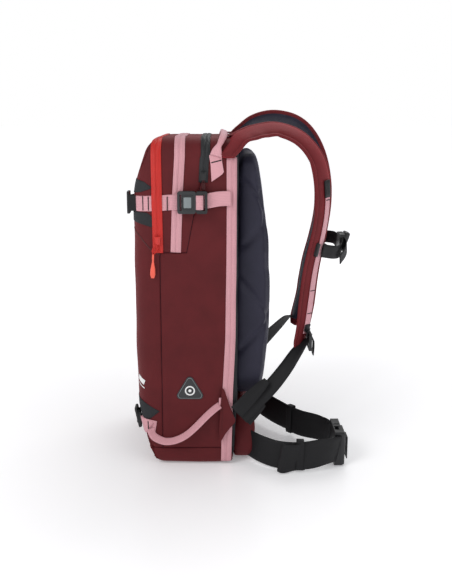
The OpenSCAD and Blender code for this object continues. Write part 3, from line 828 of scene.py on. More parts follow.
def upper_strap(side):
    z = UPPER_STRAP_Z
    front = [(side * 0.106, FRONT, z - 4 * MM), (side * 0.122, FRONT + 0.012, z - 4 * MM),
             (side * HALF_W, FRONT + 0.045, z - 2.5 * MM), (side * HALF_W, -0.030, z - 1.5 * MM),
             (side * HALF_W, low("upper_buckle_sockets").y + 6 * MM, z)]
    return laid("upper_strap", front, WEB, raised_over(-0.014, 9 * MM, 2.4 * MM))


finish_piece(both_sides("upper_front_straps", upper_strap), pink_webbing, "pack",
             ["upper_front_webbing"])

TACK_L = 23 * MM
# Places along Y and heights in millimetres of the tacks on the upper webbing
tack_spots = [(FRONT + 0.0185, 1.6), (FRONT + 0.029, 1.6), (-0.0285, 2.2)]
tacks = [tack_on_bag(y, UPPER_STRAP_Z - 3 * MM, side, TACK_L, h * MM)
         for y, h in tack_spots for side in (1, -1)]
finish_piece(joined("upper_strap_tacks", tacks), black_thread, "pack")

REAR_SEAM_Y = 0.0745


def rear_strap(side):
    """Leaves the plug's end bar, doubles back on itself and is caught in the back zip's seam."""
    y0, y1 = low("upper_rear_webbing").y - 4 * MM, REAR_SEAM_Y
    z0, z1 = UPPER_STRAP_Z + 2 * MM, UPPER_STRAP_Z + 6 * MM
    run = [(3.5, y0 - 11 * MM, z0 - 1 * MM), (5, y0 - 3 * MM, z0), (6, y0 + 2 * MM, z0),
           (5, y0 + 8 * MM, z0 + 1 * MM), (4, (y0 + y1) / 2, (z0 + z1) / 2 + 1 * MM), (3.2, y1, z1)]
    points = [(side * (HALF_W + off * MM), y, z) for off, y, z in run]
    return sweep("rear_strap", smooth_path(points, 3 * MM), (side, 0, 0), flat_section(24 * MM, 2.4 * MM))


for side, name in ((1, "right"), (-1, "left")):
    piece = rear_strap(side)
    finish_piece(piece, pink_webbing, "pack", ["upper_rear_webbing"] if side == 1 else [])
    piece.name = "upper_rear_strap_" + name
    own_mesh(piece)

# ---------------------------------------------------------------- buckles and other hard parts


def refine(node, material, bevel=0.6 * MM):
    """Keeps a hard CAD node as it is, with rounded edges and its own finish."""
    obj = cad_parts[node]
    obj.data.materials.clear()
    obj.data.materials.append(material)
    for polygon in obj.data.polygons:
        polygon.use_smooth = True
    add_modifier(obj, "WELD", merge_threshold=0.01 * MM)
    add_modifier(obj, "BEVEL", width=bevel, segments=3, limit_method="ANGLE", angle_limit=math.radians(30),
                 harden_normals=False)
    add_modifier(obj, "WEIGHTED_NORMAL", keep_sharp=True)
    return obj


for node in ("upper_buckle_sockets", "upper_buckle_plug_right", "upper_buckle_plug_left", "sternum_socket",
             "sternum_plug", "hip_socket", "hip_plug", "front_buckle_upper_right", "front_buckle_upper_left",
             "front_buckle_lower_right", "front_buckle_lower_left", "ladder_lock_right", "ladder_lock_left"):
    refine(node, slate_plastic if node == "upper_buckle_sockets" else black_plastic)
for node in ("goggle_zip_slider", "main_zip_slider", "back_zip_slider"):
    refine(node, black_plastic, 0.5 * MM)
refine("tool_zip_slider", red_plastic, 0.5 * MM)
refine("frame_sheet", sheet_plastic, 0.3 * MM)
refine("frame_stays", stay_alloy, 0.5 * MM)
for node in ("tool_divider", "hydration_sleeve"):
    refine(node, lining_cloth, 0.3 * MM)
refine("yoke_anchor", maroon_cloth, 0.6 * MM)

# ---------------------------------------------------------------- patches, badge and fins


def sheet(name, rows, thickness):
    """A piece of cloth from rows of points, thickened both ways and softened at its edges."""
    rows = [np.asarray(r, float) for r in rows]
    across = len(rows[0])
    points = np.vstack(rows)
    faces = [(i * across + j, i * across + j + 1, (i + 1) * across + j + 1, (i + 1) * across + j)
             for i in range(len(rows) - 1) for j in range(across - 1)]
    obj = new_object(name, mesh_of(name, points, faces))
    add_modifier(obj, "SOLIDIFY", thickness=thickness, offset=0.0)
    add_modifier(obj, "BEVEL", width=thickness * 0.35, segments=2, limit_method="ANGLE")
    return obj


def between(left, right, count):
    """A row of points from one edge point to the other."""
    share = np.linspace(0, 1, count)[:, None]
    return np.asarray(left, float) * (1 - share) + np.asarray(right, float) * share


def side_outline(left, right, heights, count=7):
    """Rows of an upright piece in side view, between a left and a right edge given as (y, z) points."""
    def edge(points, z):
        return np.interp(z, [p[1] for p in points], [p[0] for p in points])
    return [between((0, edge(left, z), z), (0, edge(right, z), z), count) for z in heights]


def cut_patch(name, outline, height, thick, inner_x, side):
    """A patch cut from the bag's form by a convex outline in side view, laid at a height over the cloth."""
    work = bmesh.new()
    work.from_mesh(bag_form)
    edges = zip(outline, outline[1:] + outline[:1])
    cuts = [((0, y0, z0), (0, z1 - z0, y0 - y1)) for (y0, z0), (y1, z1) in edges]
    for point, normal in cuts + [((side * inner_x, 0, 0), (-side, 0, 0))]:
        cut_by_plane(work, point, normal, clear_outer=True)
    move_vertices(work.verts, onto_bag(positions(work.verts), height))
    mesh = bpy.data.meshes.new(name)
    work.to_mesh(mesh)
    work.free()
    obj = new_object(name, mesh)
    add_modifier(obj, "SOLIDIFY", thickness=thick, offset=0.0)
    return obj


# Side-view outlines (y, z), anticlockwise, of the charcoal patches at the bag's front corners
PATCH_OUTLINES = [
    [(-0.110, 0.468), (-0.072, 0.474), (-0.052, 0.481), (-0.066, 0.491), (-0.088, 0.497), (-0.110, 0.498)],
    [(-0.110, 0.432), (-0.050, 0.4165), (-0.050, 0.432), (-0.062, 0.441), (-0.110, 0.443)],
    [(-0.110, 0.078), (-0.078, 0.080), (-0.063, 0.085), (-0.047, 0.099), (-0.083, 0.119), (-0.110, 0.124)]]
PATCH_INNER_X = 0.060

patches = [cut_patch("patch", outline, 0.4 * MM, 1.0 * MM, PATCH_INNER_X, side)
           for outline in PATCH_OUTLINES for side in (1, -1)]
finish_piece(joined("corner_patches", patches), charcoal_cloth, "pack",
             ["reinforcement_patches"])


def on_side(y, z):
    """Places flat pieces on the right side: their x along +Y, their y along +Z."""
    return axes((HALF_W, y, z), (0, 1, 0), (0, 0, 1))


def press_on(obj, height):
    """Lays a flat piece made on the right side onto the bag's curve, its lowest face at that height."""
    points = positions(obj.data.vertices)
    rise = points[:, 0] - points[:, 0].min()
    move_vertices(obj.data.vertices, onto_bag(points, height + rise))
    return obj


def triangle_outline(size, corner):
    """A rounded triangle pointing up: corner arcs whose centres lie on a circle."""
    points = []
    for turn in (90, 210, 330):
        cx, cy = size * math.cos(math.radians(turn)), size * math.sin(math.radians(turn))
        points += outline_arc(cx, cy, corner, turn - 60, turn + 60)
    return points


def circle_outline(radius, n=40):
    return outline_arc(0, 0, radius, 0, 360 - 360 / n, n - 1)


badge_place = on_side(0.0055, 0.1375)
badge = press_on(moulding("badge", [triangle_outline(18.5 * MM, 6.5 * MM)], 1.4 * MM, 0.4 * MM, badge_place),
                 -0.2 * MM)
finish_piece(badge, slate_plastic, "pack", ["side_badge"])
badge_edges = [triangle_outline(17.6 * MM, 5.2 * MM), triangle_outline(17.3 * MM, 4.7 * MM)]
badge_line = press_on(moulding("line", badge_edges, 0.3 * MM, 0.05 * MM, badge_place), 1.1 * MM)
finish_piece(badge_line, grey_plastic, "pack")
badge_line.name = "badge_border"
ring_edges = [circle_outline(8.6 * MM), circle_outline(6.3 * MM)]
ring = moulding("ring", ring_edges, 0.3 * MM, 0.08 * MM, badge_place)
dot = moulding("dot", [circle_outline(2.6 * MM)], 0.3 * MM, 0.08 * MM, badge_place)
badge_mark = press_on(joined("badge_ring", [ring, dot]), 1.1 * MM)
finish_piece(badge_mark, white_print, "pack")

FIN_Z = np.linspace(0.046, 0.142, 25)
FIN_LEFT = [(0.058, 0.046), (0.055, 0.060), (0.057, 0.100), (0.060, 0.142)]
FIN_RIGHT = [(0.0585, 0.046), (0.066, 0.060), (0.0840, 0.084), (0.0745, 0.107), (0.0645, 0.138),
             (0.0615, 0.142)]


def fin(side):
    """A folded cloth wing over the back zip that stands off more towards its rear point."""
    rows = []
    for row in side_outline(FIN_LEFT, FIN_RIGHT, FIN_Z):
        off = 3.4 * MM + 2.5 * MM * np.clip((row[:, 1] - 0.056) / 0.028, 0, 1)
        off += 0.5 * MM * np.sin(row[:, 2] * 90 + row[:, 1] * 70)
        row[:, 0] = side * (HALF_W + off)
        rows.append(row if side > 0 else row[::-1])
    return sheet("fin", rows, 3.2 * MM)


finish_piece(both_sides("cloth_fins", fin), fin_cloth, "pack", ["hip_fins"])


def stitches(points, up, length=2.6 * MM, gap=1.4 * MM, width=0.5 * MM, thick=0.4 * MM):
    """A row of separate stitches along a path."""
    path = smooth_path(points, length + gap)
    up = np.broadcast_to(np.asarray(up, float), path.shape)
    made = []
    for here, after, normal in zip(path, path[1:], up):
        step = unit(after - here)
        made.append(sweep("stitch", [here, here + step * length / 2, here + step * length], normal,
                          flat_section(width, thick, rows=1)))
    return made


def fin_seam(side):
    run = [(5.9, 0.0600, 0.128), (6.1, 0.0605, 0.100), (5.8, 0.0595, 0.062)]
    return stitches([(side * (HALF_W + off * MM), y, z) for off, y, z in run], (side, 0, 0))


finish_piece(joined("fin_stitches", fin_seam(1) + fin_seam(-1)), maroon_thread, "pack")

# ---------------------------------------------------------------- lower ski straps

LOWER_STRAP_Z = 0.0735


def front_lift(y_start, y_end, rise):
    """A rule that lifts a strap gradually off the bag as it runs forward to its buckle."""
    return lambda p: 0.5 * MM + rise * np.clip((y_start - p[:, 1]) / (y_start - y_end), 0, 1) ** 2


def lower_wrap(side, layer):
    """The strap from the front buckle round the corner; its second layer is folded back over it."""
    z = LOWER_STRAP_Z
    back = -0.0540 if layer == 0 else -0.0640
    points = [(side * 0.106, FRONT, z - 1 * MM), (side * 0.122, FRONT + 0.012, z - 2 * MM),
              (side * 0.129, FRONT + 0.022, z - 3 * MM), (side * HALF_W, back, z - 5 * MM)]
    lift = front_lift(FRONT + 0.02, FRONT, 2.5 * MM)
    return laid("lower_wrap", points, WEB, lambda p: lift(p) + layer * 1.9 * MM)


# The loose strap's middle line: how far it stands off the bag's side in millimetres, then y and z
BOW = [(2.2, -0.063, 0.069), (5.0, -0.0575, 0.056), (9.0, -0.042, 0.0490), (11.0, -0.028, 0.0490),
       (12.0, -0.014, 0.0535), (11.0, 0.001, 0.062), (9.5, 0.017, 0.0765), (7.5, 0.033, 0.093),
       (5.5, 0.047, 0.1055), (4.4, 0.0565, 0.1125)]


def bow(side):
    """The loose strap, turned partly on edge so that it shows narrow."""
    path = smooth_path([(side * (HALF_W + off * MM), y, z) for off, y, z in BOW], 4 * MM)
    share = np.linspace(0, 1, len(path))
    turn = np.interp(share, [0, 0.25, 0.8, 1], [0.5, 0.95, 0.85, 0.9]) * side
    return sweep("bow", path, (side, 0, 0), flat_section(14 * MM, 1.6 * MM), rolls=turn)


def bow_end(side):
    """The last short run, flat against the fin's front edge."""
    run = [(0.0575, 0.1045), (0.0580, 0.1130), (0.0585, 0.1250)]
    points = [(side * (HALF_W + 3.2 * MM), y, z) for y, z in run]
    return sweep("bow_end", smooth_path(points, 4 * MM), (side, 0, 0), flat_section(7 * MM, 1.6 * MM))


lower = [lower_wrap(side, layer) for side in (1, -1) for layer in (0, 1)]
lower += [bow(1), bow(-1), bow_end(1), bow_end(-1)]
finish_piece(joined("lower_straps", lower), pink_webbing, "pack", ["lower_ski_straps"])
lower_tacks = [tack_on_bag(-0.0665, LOWER_STRAP_Z - 4 * MM, side, TACK_L, 3.6 * MM, -0.05)
               for side in (1, -1)]
finish_piece(joined("lower_strap_tacks", lower_tacks), black_thread, "pack")

# ---------------------------------------------------------------- haul handle

TAB_Z = np.linspace(0.4915, 0.5335, 12)
TAB_LEFT = [(0.0430, 0.4915), (0.0415, 0.520), (0.0395, 0.530), (0.0395, 0.5335)]
TAB_RIGHT = [(0.0436, 0.4915), (0.0630, 0.505), (0.0595, 0.526), (0.0600, 0.5335)]


def tab(side):
    rows = []
    for row in side_outline(TAB_LEFT, TAB_RIGHT, TAB_Z):
        row[:, 0] = side * HALF_W
        rows.append(onto_bag(row if side > 0 else row[::-1], 1.3 * MM))
    return sheet("tab", rows, 1.7 * MM)


finish_piece(both_sides("handle_tabs", tab), pink_webbing, "pack", ["haul_handle_tabs"])


def tab_tack(side):
    """The black stitching across a tab, rising towards the back."""
    ends = [(side * HALF_W, y, z) for y, z in ((0.0425, 0.5215), (0.051, 0.5235), (0.0590, 0.5255))]
    ends = onto_bag(smooth_path(ends, 4 * MM), 2.4 * MM)
    return sweep("bartack", ends, (side, 0, 0), flat_section(1.8 * MM, 0.8 * MM, rows=2))


finish_piece(both_sides("handle_tacks", tab_tack), black_thread, "pack")

# Right half of the handle's middle line, from its tab up to the middle
HANDLE = [(0.1342, 0.0500, 0.5320), (0.1350, 0.0515, 0.5390), (0.1345, 0.0535, 0.5455),
          (0.1310, 0.0575, 0.5530), (0.1220, 0.0610, 0.5605), (0.1000, 0.0635, 0.5655),
          (0.0500, 0.0640, 0.5670), (0.0, 0.0640, 0.5675)]


def handle():
    """The grab loop: flat at the tabs, gathered into a neck where it folds, then rolled over the top."""
    path = smooth_path(HANDLE + [(-x, y, z) for x, y, z in HANDLE[-2::-1]], 3 * MM)
    # The strip faces away from a point low in the bag, and leans back where it runs over the top
    lean = 0.05 * np.clip((path[:, 2] - 0.553) / 0.010, 0, 1)
    up = unit(path - (0, 0.05, 0.40) + np.outer(lean, (0, 1, 0)))

    def section(share):
        end = 1 - abs(2 * share - 1)
        width = np.interp(end, [0, 0.05, 0.11, 0.2, 0.5, 1], [20, 17, 9, 11, 13, 13])
        thick = np.interp(end, [0, 0.05, 0.11, 0.2, 1], [1.8, 2.2, 4.2, 4.4, 5.0])
        return flat_section(width * MM, thick * MM, edge=0.48)

    return sweep("handle", path, up, section)


finish_piece(handle(), pink_webbing, "haul_loop", ["haul_handle"])

# ---------------------------------------------------------------- zip pulls


def pull(name, points, material, cord_material, body, node, loop=1.7 * MM,
         grip=(2.4, 3.4, 7.5, 8.6, 5.0)):
    """A cord loop from the slider and a grip, as one piece of two materials."""
    cord = 1.7 * MM
    x = middle(node).x
    side = math.copysign(1, x)
    top, knot, low_end = [np.array((x, y, z)) for y, z in points]
    cords = []
    for shift in (-loop, loop):
        run = smooth_path([top, (top + knot) / 2 + np.array([0, shift, 0]), knot], 1.5 * MM)
        cords.append(sweep("cord", run, (side, 0, 0), flat_section(cord, cord, edge=0.45)))
    run = smooth_path([knot + np.array([0, 0, 1.5 * MM]), (knot + low_end) / 2, low_end], 1.5 * MM)

    def section(share):
        width = np.interp(share, [0, 0.3, 0.62, 0.85, 1], grip)
        thick = np.interp(share, [0, 0.15, 0.9, 1], [2.6, 3.3, 3.3, 2.2])
        return flat_section(width * MM, thick * MM, edge=0.46)

    hold = sweep("grip", run, (side, 0, 0), section)
    for piece in cords:
        piece.data.materials.append(cord_material)
    hold.data.materials.append(material)
    return finish_piece(joined(name, [hold] + cords), [], body, [node])


pull("tool_pull_grip", [(-0.0470, 0.3905), (-0.0526, 0.3720), (-0.0540, 0.3340)], coral_rubber, red_cord,
     "tool_pull", "tool_zip_pull", loop=3.9 * MM, grip=(3.2, 3.0, 7.8, 8.8, 5.0))
pull("goggle_pull_cord", [(0.0300, 0.4940), (0.0302, 0.4880), (0.0302, 0.4775)], maroon_cord, maroon_cord,
     "goggle_pull", "goggle_zip_pull", grip=(6.5, 7.0, 7.0, 7.0, 6.0))
pull("main_pull_cord", [(-0.0160, 0.3800), (-0.0160, 0.3720), (-0.0160, 0.3500)], maroon_cord, maroon_cord,
     "main_pull", "main_zip_pull")
pull("back_pull_cord", [(0.0704, 0.1940), (0.0704, 0.1860), (0.0704, 0.1640)], maroon_cord, maroon_cord,
     "back_pull", "back_zip_pull")

# ---------------------------------------------------------------- padded back

CLOTH_STEPS = 20


def soft_body(name, source, voxel, swell, pressure, shape=None):
    """Padding: the CAD solid's skin, remeshed, puffed up as cloth under pressure, and kept near its start."""
    obj = new_object(name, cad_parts[source].data.copy())
    obj.data.materials.clear()
    add_modifier(obj, "REMESH", mode="VOXEL", voxel_size=voxel, use_smooth_shade=True)
    apply_modifiers(obj)
    add_modifier(obj, "SMOOTH", factor=0.5, iterations=6)
    apply_modifiers(obj)
    if shape:
        move_vertices(obj.data.vertices, shape(positions(obj.data.vertices)))
    start = positions(obj.data.vertices)
    cloth = add_modifier(obj, "CLOTH")
    cloth.settings.use_pressure = True
    cloth.settings.uniform_pressure_force = pressure
    cloth.settings.effector_weights.gravity = 0
    cloth.settings.tension_stiffness = 15
    cloth.settings.compression_stiffness = 15
    cloth.settings.bending_stiffness = 0.4
    cloth.point_cache.frame_start = 1
    cloth.point_cache.frame_end = CLOTH_STEPS
    for step in range(1, CLOTH_STEPS + 1):
        bpy.context.scene.frame_set(step)
    apply_modifiers(obj)
    bpy.context.scene.frame_set(1)
    moved = positions(obj.data.vertices) - start
    size = np.linalg.norm(moved, axis=1, keepdims=True)
    move_vertices(obj.data.vertices, start + moved * np.minimum(1, swell / np.maximum(size, 1e-9)))
    return obj


def grooves(p, lines, depth, half):
    """How far slanting grooves press into padding.

    Each line gives a height, its rise over the way in from the pad's edge, and where it begins and ends."""
    x, y, z = p.T
    inward = (y - low("back_pad_cover").y) + (high("back_pad_cover").x - np.abs(x))
    press = np.zeros(len(p))
    for start_z, rise, first, last in lines:
        away = z - (start_z + rise * inward)
        reach = np.clip((inward - first) / (8 * MM), 0, 1) * np.clip((last - inward) / (12 * MM), 0, 1)
        press = np.maximum(press, depth * np.exp(-(away / half) ** 2) * reach)
    return press


PAD_GROOVES = [(0.505, -1.15, -0.004, 0.090), (0.372, 0.95, -0.004, 0.090), (0.335, -1.15, -0.004, 0.090),
               (0.190, 0.95, -0.004, 0.090)]


def shape_pad(p):
    """Draws the pad's skin in along its grooves and down its middle channel.

    Its upper half stands further out, and its foot hangs lower."""
    x, y, z = p.T
    press = grooves(p, PAD_GROOVES, 5 * MM, 7 * MM)
    press += 6 * MM * np.exp(-(x / (13 * MM)) ** 2) * np.clip((y - 0.088) * 100, 0, 1)
    centre = np.stack([np.zeros(len(p)), np.full(len(p), low("back_pad_cover").y), z], axis=1)
    inward = unit(centre - p)
    shaped = p + inward * press[:, None]
    outer = np.clip((y - low("back_pad_cover").y) * 60, 0, 1)
    shaped[:, 1] += 6 * MM * outer * np.clip((z - 0.34) * 20, 0, 1)
    shaped[:, 2] -= 18 * MM * np.clip((0.20 - z) / 0.067, 0, 1)
    return shaped


pad = soft_body("back_pad", "back_pad_cover", 5 * MM, 6 * MM, 3.0, shape_pad)
add_modifier(pad, "SUBSURF", levels=1, render_levels=1)
finish_piece(pad, navy_cloth, "pack", ["back_pad_cover", "back_pad_foam"])


def shape_lumbar(p):
    """Lets the cushion hang down behind the bag's lower edge."""
    hang = np.clip((0.085 - p[:, 2]) / 0.045, 0, 1)
    p[:, 0] *= 1 + 0.18 * hang
    p[:, 2] -= (low("lumbar_pad").z - 1 * MM) * hang
    return p


lumbar = soft_body("lumbar_cushion", "lumbar_pad", 4.5 * MM, 5 * MM, 3.5, shape_lumbar)
add_modifier(lumbar, "SUBSURF", levels=1, render_levels=1)
finish_piece(lumbar, maroon_cloth, "pack", ["lumbar_pad"])

# ---------------------------------------------------------------- shoulder straps


def outward(path):
    """For a path in side view, the direction away from the wearer's shoulder at each step."""
    along = tangents(path)
    return unit(np.stack([np.zeros(len(path)), -along[:, 2], along[:, 1]], axis=1))


def turned(path, roll):
    """The across and outward directions of a strap, turned about its own length."""
    along, up = tangents(path), outward(path)
    across = np.cross(along, up)
    c, s = np.cos(roll)[:, None], np.sin(roll)[:, None]
    return across * c + up * s, up * c - across * s


STRAP_X = middle("shoulder_strap_right").x
# Middle lines as (y, z) in millimetres, from the bag's top rear corner over the arch and down to the tip
NEAR_LINE = [(66, 531), (76, 543), (88, 557), (104, 565), (122, 570), (147, 573), (169, 568), (189, 558),
             (206, 542), (220, 520), (227, 496), (230, 468), (230, 440), (227, 412), (222, 384),
             (215, 348), (211, 320), (208, 290), (205, 262), (201, 234), (192, 195)]
FAR_LINE = [(66, 530), (76, 541), (88, 555), (104, 569), (124, 582), (149, 588), (174, 586), (194, 579),
            (211, 566), (226, 546), (238, 520), (246, 490), (250, 460), (250, 427), (246, 396),
            (238, 360), (229, 325), (223, 290), (218, 260), (211, 234), (200, 197)]
# Shares of a strap's length, with its turn in degrees and its width in millimetres at each
STRAP_SHARES = [0, 0.06, 0.12, 0.22, 0.33, 0.45, 0.60, 0.72, 0.85, 1]
NEAR_ROLL = [-34, -26, -21, -20, -25, -32, -32, -36, -40, -38]
FAR_ROLL = [34, 28, 27, 30, 28, 26, 24, 26, 30, 30]
STRAP_W = [34, 52, 60, 60, 60, 59, 56, 52, 47, 30]
# The first points of a strap stand further out, by ROOT_SPREAD at ROOT_Y and by nothing ROOT_LENGTH later
ROOT_SPREAD = 58 * MM
ROOT_Y = 68
ROOT_LENGTH = 80
ROOT_POINTS = 6
# Where a strap's stitched groove runs, as a share of its half width
GROOVE = 0.765


class StrapLine:
    """Middle line, turn and width of one shoulder strap, for everything that is sewn to it."""

    def __init__(self, side, line, roll):
        self.side = side
        points = []
        for k, (y, z) in enumerate(line):
            near_root = max(0.0, 1 - (y - ROOT_Y) / ROOT_LENGTH) if k < ROOT_POINTS else 0.0
            points.append((side * (STRAP_X + ROOT_SPREAD * near_root ** 1.5), y * MM, z * MM))
        self.path = smooth_path(points, 4 * MM)
        share = np.linspace(0, 1, len(self.path))
        self.roll = np.radians(np.interp(share, STRAP_SHARES, roll))
        self.across, self.up = turned(self.path, self.roll)

    def half(self, share):
        return np.interp(share, STRAP_SHARES, STRAP_W) * MM / 2 * (1 - max(0, (share - 0.965) / 0.05) ** 2)

    def on(self, share_start, share_end, sideways=0.0, height=0.0, step=4 * MM):
        """A path on the strap between two shares of its length, and the outward direction along it."""
        count = max(4, int(arc_lengths(self.path)[-1] * (share_end - share_start) / step))
        at = np.linspace(share_start, share_end, count) * (len(self.path) - 1)
        middle_line, across, up = [sampled(table, np.arange(len(self.path)), at)
                                   for table in (self.path, self.across, self.up)]
        up = unit(up)
        return middle_line + unit(across) * sideways + up * height, up

    def share_at(self, z):
        """Share of the length at which the hanging part passes a height."""
        hanging = np.argmax(self.path[:, 2]) + np.arange(len(self.path) - np.argmax(self.path[:, 2]))
        return float(hanging[np.argmin(np.abs(self.path[hanging, 2] - z))]) / (len(self.path) - 1)


def strap_top(half):
    """Heights over a strap's outer face: bound edge, stitched groove, padded middle."""
    rise = [(-1.0, 0.6), (-0.97, 1.9), (-0.88, 2.7), (-0.80, 2.3), (-GROOVE, 1.7), (-0.73, 2.6),
            (-0.60, 4.4), (-0.35, 5.9), (0.0, 6.5)]
    left = [(a * half, h * MM) for a, h in rise]
    return left + [(-a, h) for a, h in left[-2::-1]]


def strap_shell(line):
    def section(share):
        half = line.half(share)
        under = [(0.97, -1.9), (0.75, -2.4), (0.0, -2.8), (-0.75, -2.4), (-0.97, -1.9)]
        return strap_top(half) + [(a * half, h * MM) for a, h in under]
    return sweep("strap", line.path, outward(line.path), section, rolls=line.roll)


def strap_under(line):
    """The lining on the wearer's side, as a thin padded layer inside the bound edges."""
    def section(share):
        half = line.half(share) * 0.82
        top = [(-half, -1.6 * MM), (-0.5 * half, -1.0 * MM), (0.5 * half, -1.0 * MM), (half, -1.6 * MM)]
        return top + [(0.93 * half, -2.9 * MM), (0.6 * half, -4.6 * MM), (0, -5.6 * MM),
                      (-0.6 * half, -4.6 * MM), (-0.93 * half, -2.9 * MM)]
    return sweep("lining", line.path[3:-3], outward(line.path)[3:-3], section, rolls=line.roll[3:-3])


def stitch_row(name, path, up, length=2.4 * MM, gap=1.3 * MM, width=0.6 * MM, thick=0.5 * MM):
    """Separate stitches along a path, as one mesh of small blocks."""
    run = arc_lengths(path)
    starts = np.arange(0, run[-1] - length, length + gap)
    a, b = sampled(path, run, starts), sampled(path, run, starts + length)
    n = unit(sampled(up, run, starts + length / 2))
    side = unit(np.cross(b - a, n)) * width / 2
    corners = [a - side, a + side, b + side, b - side]
    raised = [c * 0.98 + (a + b) / 2 * 0.02 + n * thick for c in corners]
    points = np.stack(corners + raised, axis=1).reshape(-1, 3)
    block = [(0, 1, 2, 3), (7, 6, 5, 4), (0, 4, 5, 1), (1, 5, 6, 2), (2, 6, 7, 3), (3, 7, 4, 0)]
    faces = [[8 * k + i for i in face] for k in range(len(starts)) for face in block]
    return new_object(name, mesh_of(name, points, faces), smooth=False)


def strap_seam(line):
    """Rows of stitches in both of a strap's grooves."""
    start, end = 0.03, 0.95
    path, up = line.on(start, end, 0.0, 1.9 * MM)
    half = np.array([line.half(s) for s in np.linspace(start, end, len(path))])[:, None]
    across = unit(np.cross(tangents(path), up))
    return [stitch_row("stitches", path + across * edge * half * GROOVE, up) for edge in (-1, 1)]


def finish_strap_piece(obj, name, material, stands_for=()):
    """Names and finishes a piece that runs between the bag and the swinging harness, on no body, and bakes
    its placing into its mesh.
    """
    obj.name = name
    finish_piece(obj, material, None, stands_for)
    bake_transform(obj)


near = StrapLine(1, NEAR_LINE, NEAR_ROLL)
far = StrapLine(-1, FAR_LINE, FAR_ROLL)
for line, name in ((near, "right"), (far, "left")):
    finish_strap_piece(strap_shell(line), "strap_" + name, strap_cloth,
                       ["shoulder_strap_" + name])
    finish_strap_piece(strap_under(line), "strap_lining_" + name, navy_cloth,
                       ["strap_lining"] if name == "right" else [])
    finish_strap_piece(joined("seam", strap_seam(line)), "strap_stitches_" + name, maroon_thread)

# ---------------------------------------------------------------- strap rails and labels

RAIL_W = 15 * MM
RAIL_TOP, RAIL_FOOT = 0.466, 0.228
rails, tacks, labels = [], [], []
for line in (near, far):
    start, end = line.share_at(RAIL_TOP), line.share_at(RAIL_FOOT)
    path, up = line.on(start, end, 0, 7.6 * MM)
    rails.append(sweep("rail", path, up, flat_section(RAIL_W, 1.8 * MM)))
    for z in (0.458, 0.300, 0.262, 0.244):
        share = line.share_at(z)
        spot, normal = line.on(share, min(1, share + 0.01), 0, 8.8 * MM)
        side = unit(np.cross(tangents(spot), normal))[0]
        tacks.append(bartack(spot[0], side, normal[0], RAIL_W * 0.94))
    path, up = line.on(line.share_at(0.490), line.share_at(0.460), 0, 8.0 * MM)
    labels.append(sweep("label", path, up, flat_section(21 * MM, 1.6 * MM)))
finish_piece(joined("harness_rails", rails), pink_webbing, "harness", ["strap_rails"])
finish_piece(joined("rail_tacks", tacks), black_thread, "harness")
finish_piece(joined("blank_labels", labels), black_webbing, "harness")

# ---------------------------------------------------------------- adjuster webbing

LOCK = middle("ladder_lock_right")

# Points (x, y, z) of the webbing from the fin to the lock, and the way its face looks there
ADJUSTER = [((0.1400, 0.0930, 0.0915), (1, -0.1, 0.1)), ((0.1360, 0.1040, 0.1020), (1, -0.1, 0.1)),
            ((0.1270, 0.1220, 0.1190), (0.95, -0.2, 0.2)), ((0.1160, 0.1460, 0.1400), (0.85, -0.35, 0.3)),
            ((0.1060, 0.1700, 0.1680), (0.75, -0.5, 0.4)), ((0.0975, 0.1900, 0.1960), (0.55, -0.65, 0.5)),
            ((LOCK.x, 0.2060, 0.2130), (0.1, -0.7, 0.7)), ((LOCK.x, 0.2165, 0.2185), (0.0, 0.3, 0.95)),
            ((LOCK.x, 0.2190, 0.2080), (0.0, 1, 0)), ((LOCK.x, 0.2180, 0.1900), (0.0, 1, -0.1))]
# The far strap hangs higher, so its adjuster does too
ADJUSTER_RISE = [0, 0, 8, 16, 17, 12, 0, 0, 0, 0]


def adjuster(side, first, last, shift, widths):
    """Webbing between two of the points, shifted across itself in side view and away from the bag."""
    rows = []
    for (place, face), rise in list(zip(ADJUSTER, ADJUSTER_RISE))[first:last]:
        x, y, z = np.add(place, shift)
        lifted = z + (rise * MM if side < 0 else 0)
        rows.append((side * x, y, lifted, side * face[0], face[1], face[2]))
    table = smooth_path(rows, 3 * MM)

    def section(share):
        return flat_section(np.interp(share, [0, 0.4, 0.8, 1], widths) * MM, 1.8 * MM)

    return sweep("adjuster", table[:, :3], unit(table[:, 3:]), section)


for side, name in ((1, "right"), (-1, "left")):
    main = adjuster(side, 0, 10, (0, 0, 0), [27, 26, 21, 20] if side > 0 else [30, 29, 24, 20])
    second = adjuster(side, 0, 4, (2.4 * MM, -0.0085, 0.0105), [25, 23, 18, 12])
    fin_end = adjuster(side, 0, 3, (-2.0 * MM, 0.004, -0.003), [32, 30, 28, 26])
    web = joined("adjuster_" + name, [main, second, fin_end])
    finish_piece(web, black_webbing, None, ["adjuster_webbing"] if side == 1 else [])
    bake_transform(web)


def lock_link(line):
    """The black loop that ties the ladder lock to the end of the rail."""
    side = line.side
    rail_end, up = line.on(line.share_at(0.244), line.share_at(0.229), 0, 9.0 * MM)
    lock_top = np.array((side * LOCK.x, LOCK.y, LOCK.z + 12.5 * MM))
    points = [rail_end[0], rail_end[-1], (rail_end[-1] + lock_top) / 2 + up[-1] * 1.5 * MM, lock_top,
              lock_top - np.array((0, 0, 3 * MM))]
    return sweep("link", smooth_path(points, 2 * MM), up[-1], flat_section(17 * MM, 2.0 * MM))


links = joined("lock_links", [lock_link(near), lock_link(far)])
finish_piece(links, black_webbing, "harness")

# ---------------------------------------------------------------- sternum strap

STERNUM_Z = middle("sternum_socket").z
STERNUM_Y = middle("sternum_socket").y
CLIP_Z = middle("sternum_sliders").z


def clip_place(line):
    """A placing at the sternum clip: x across the strap, y along it upwards, z outwards."""
    share = line.share_at(CLIP_Z)
    spot, up = line.on(share, min(1.0, share + 0.02), 0, 8.4 * MM)
    along = tangents(spot)[0]
    across = np.cross(along, up[0])
    return axes(spot[0], across * line.side, -along) if line.side > 0 else axes(spot[0], across, -along)


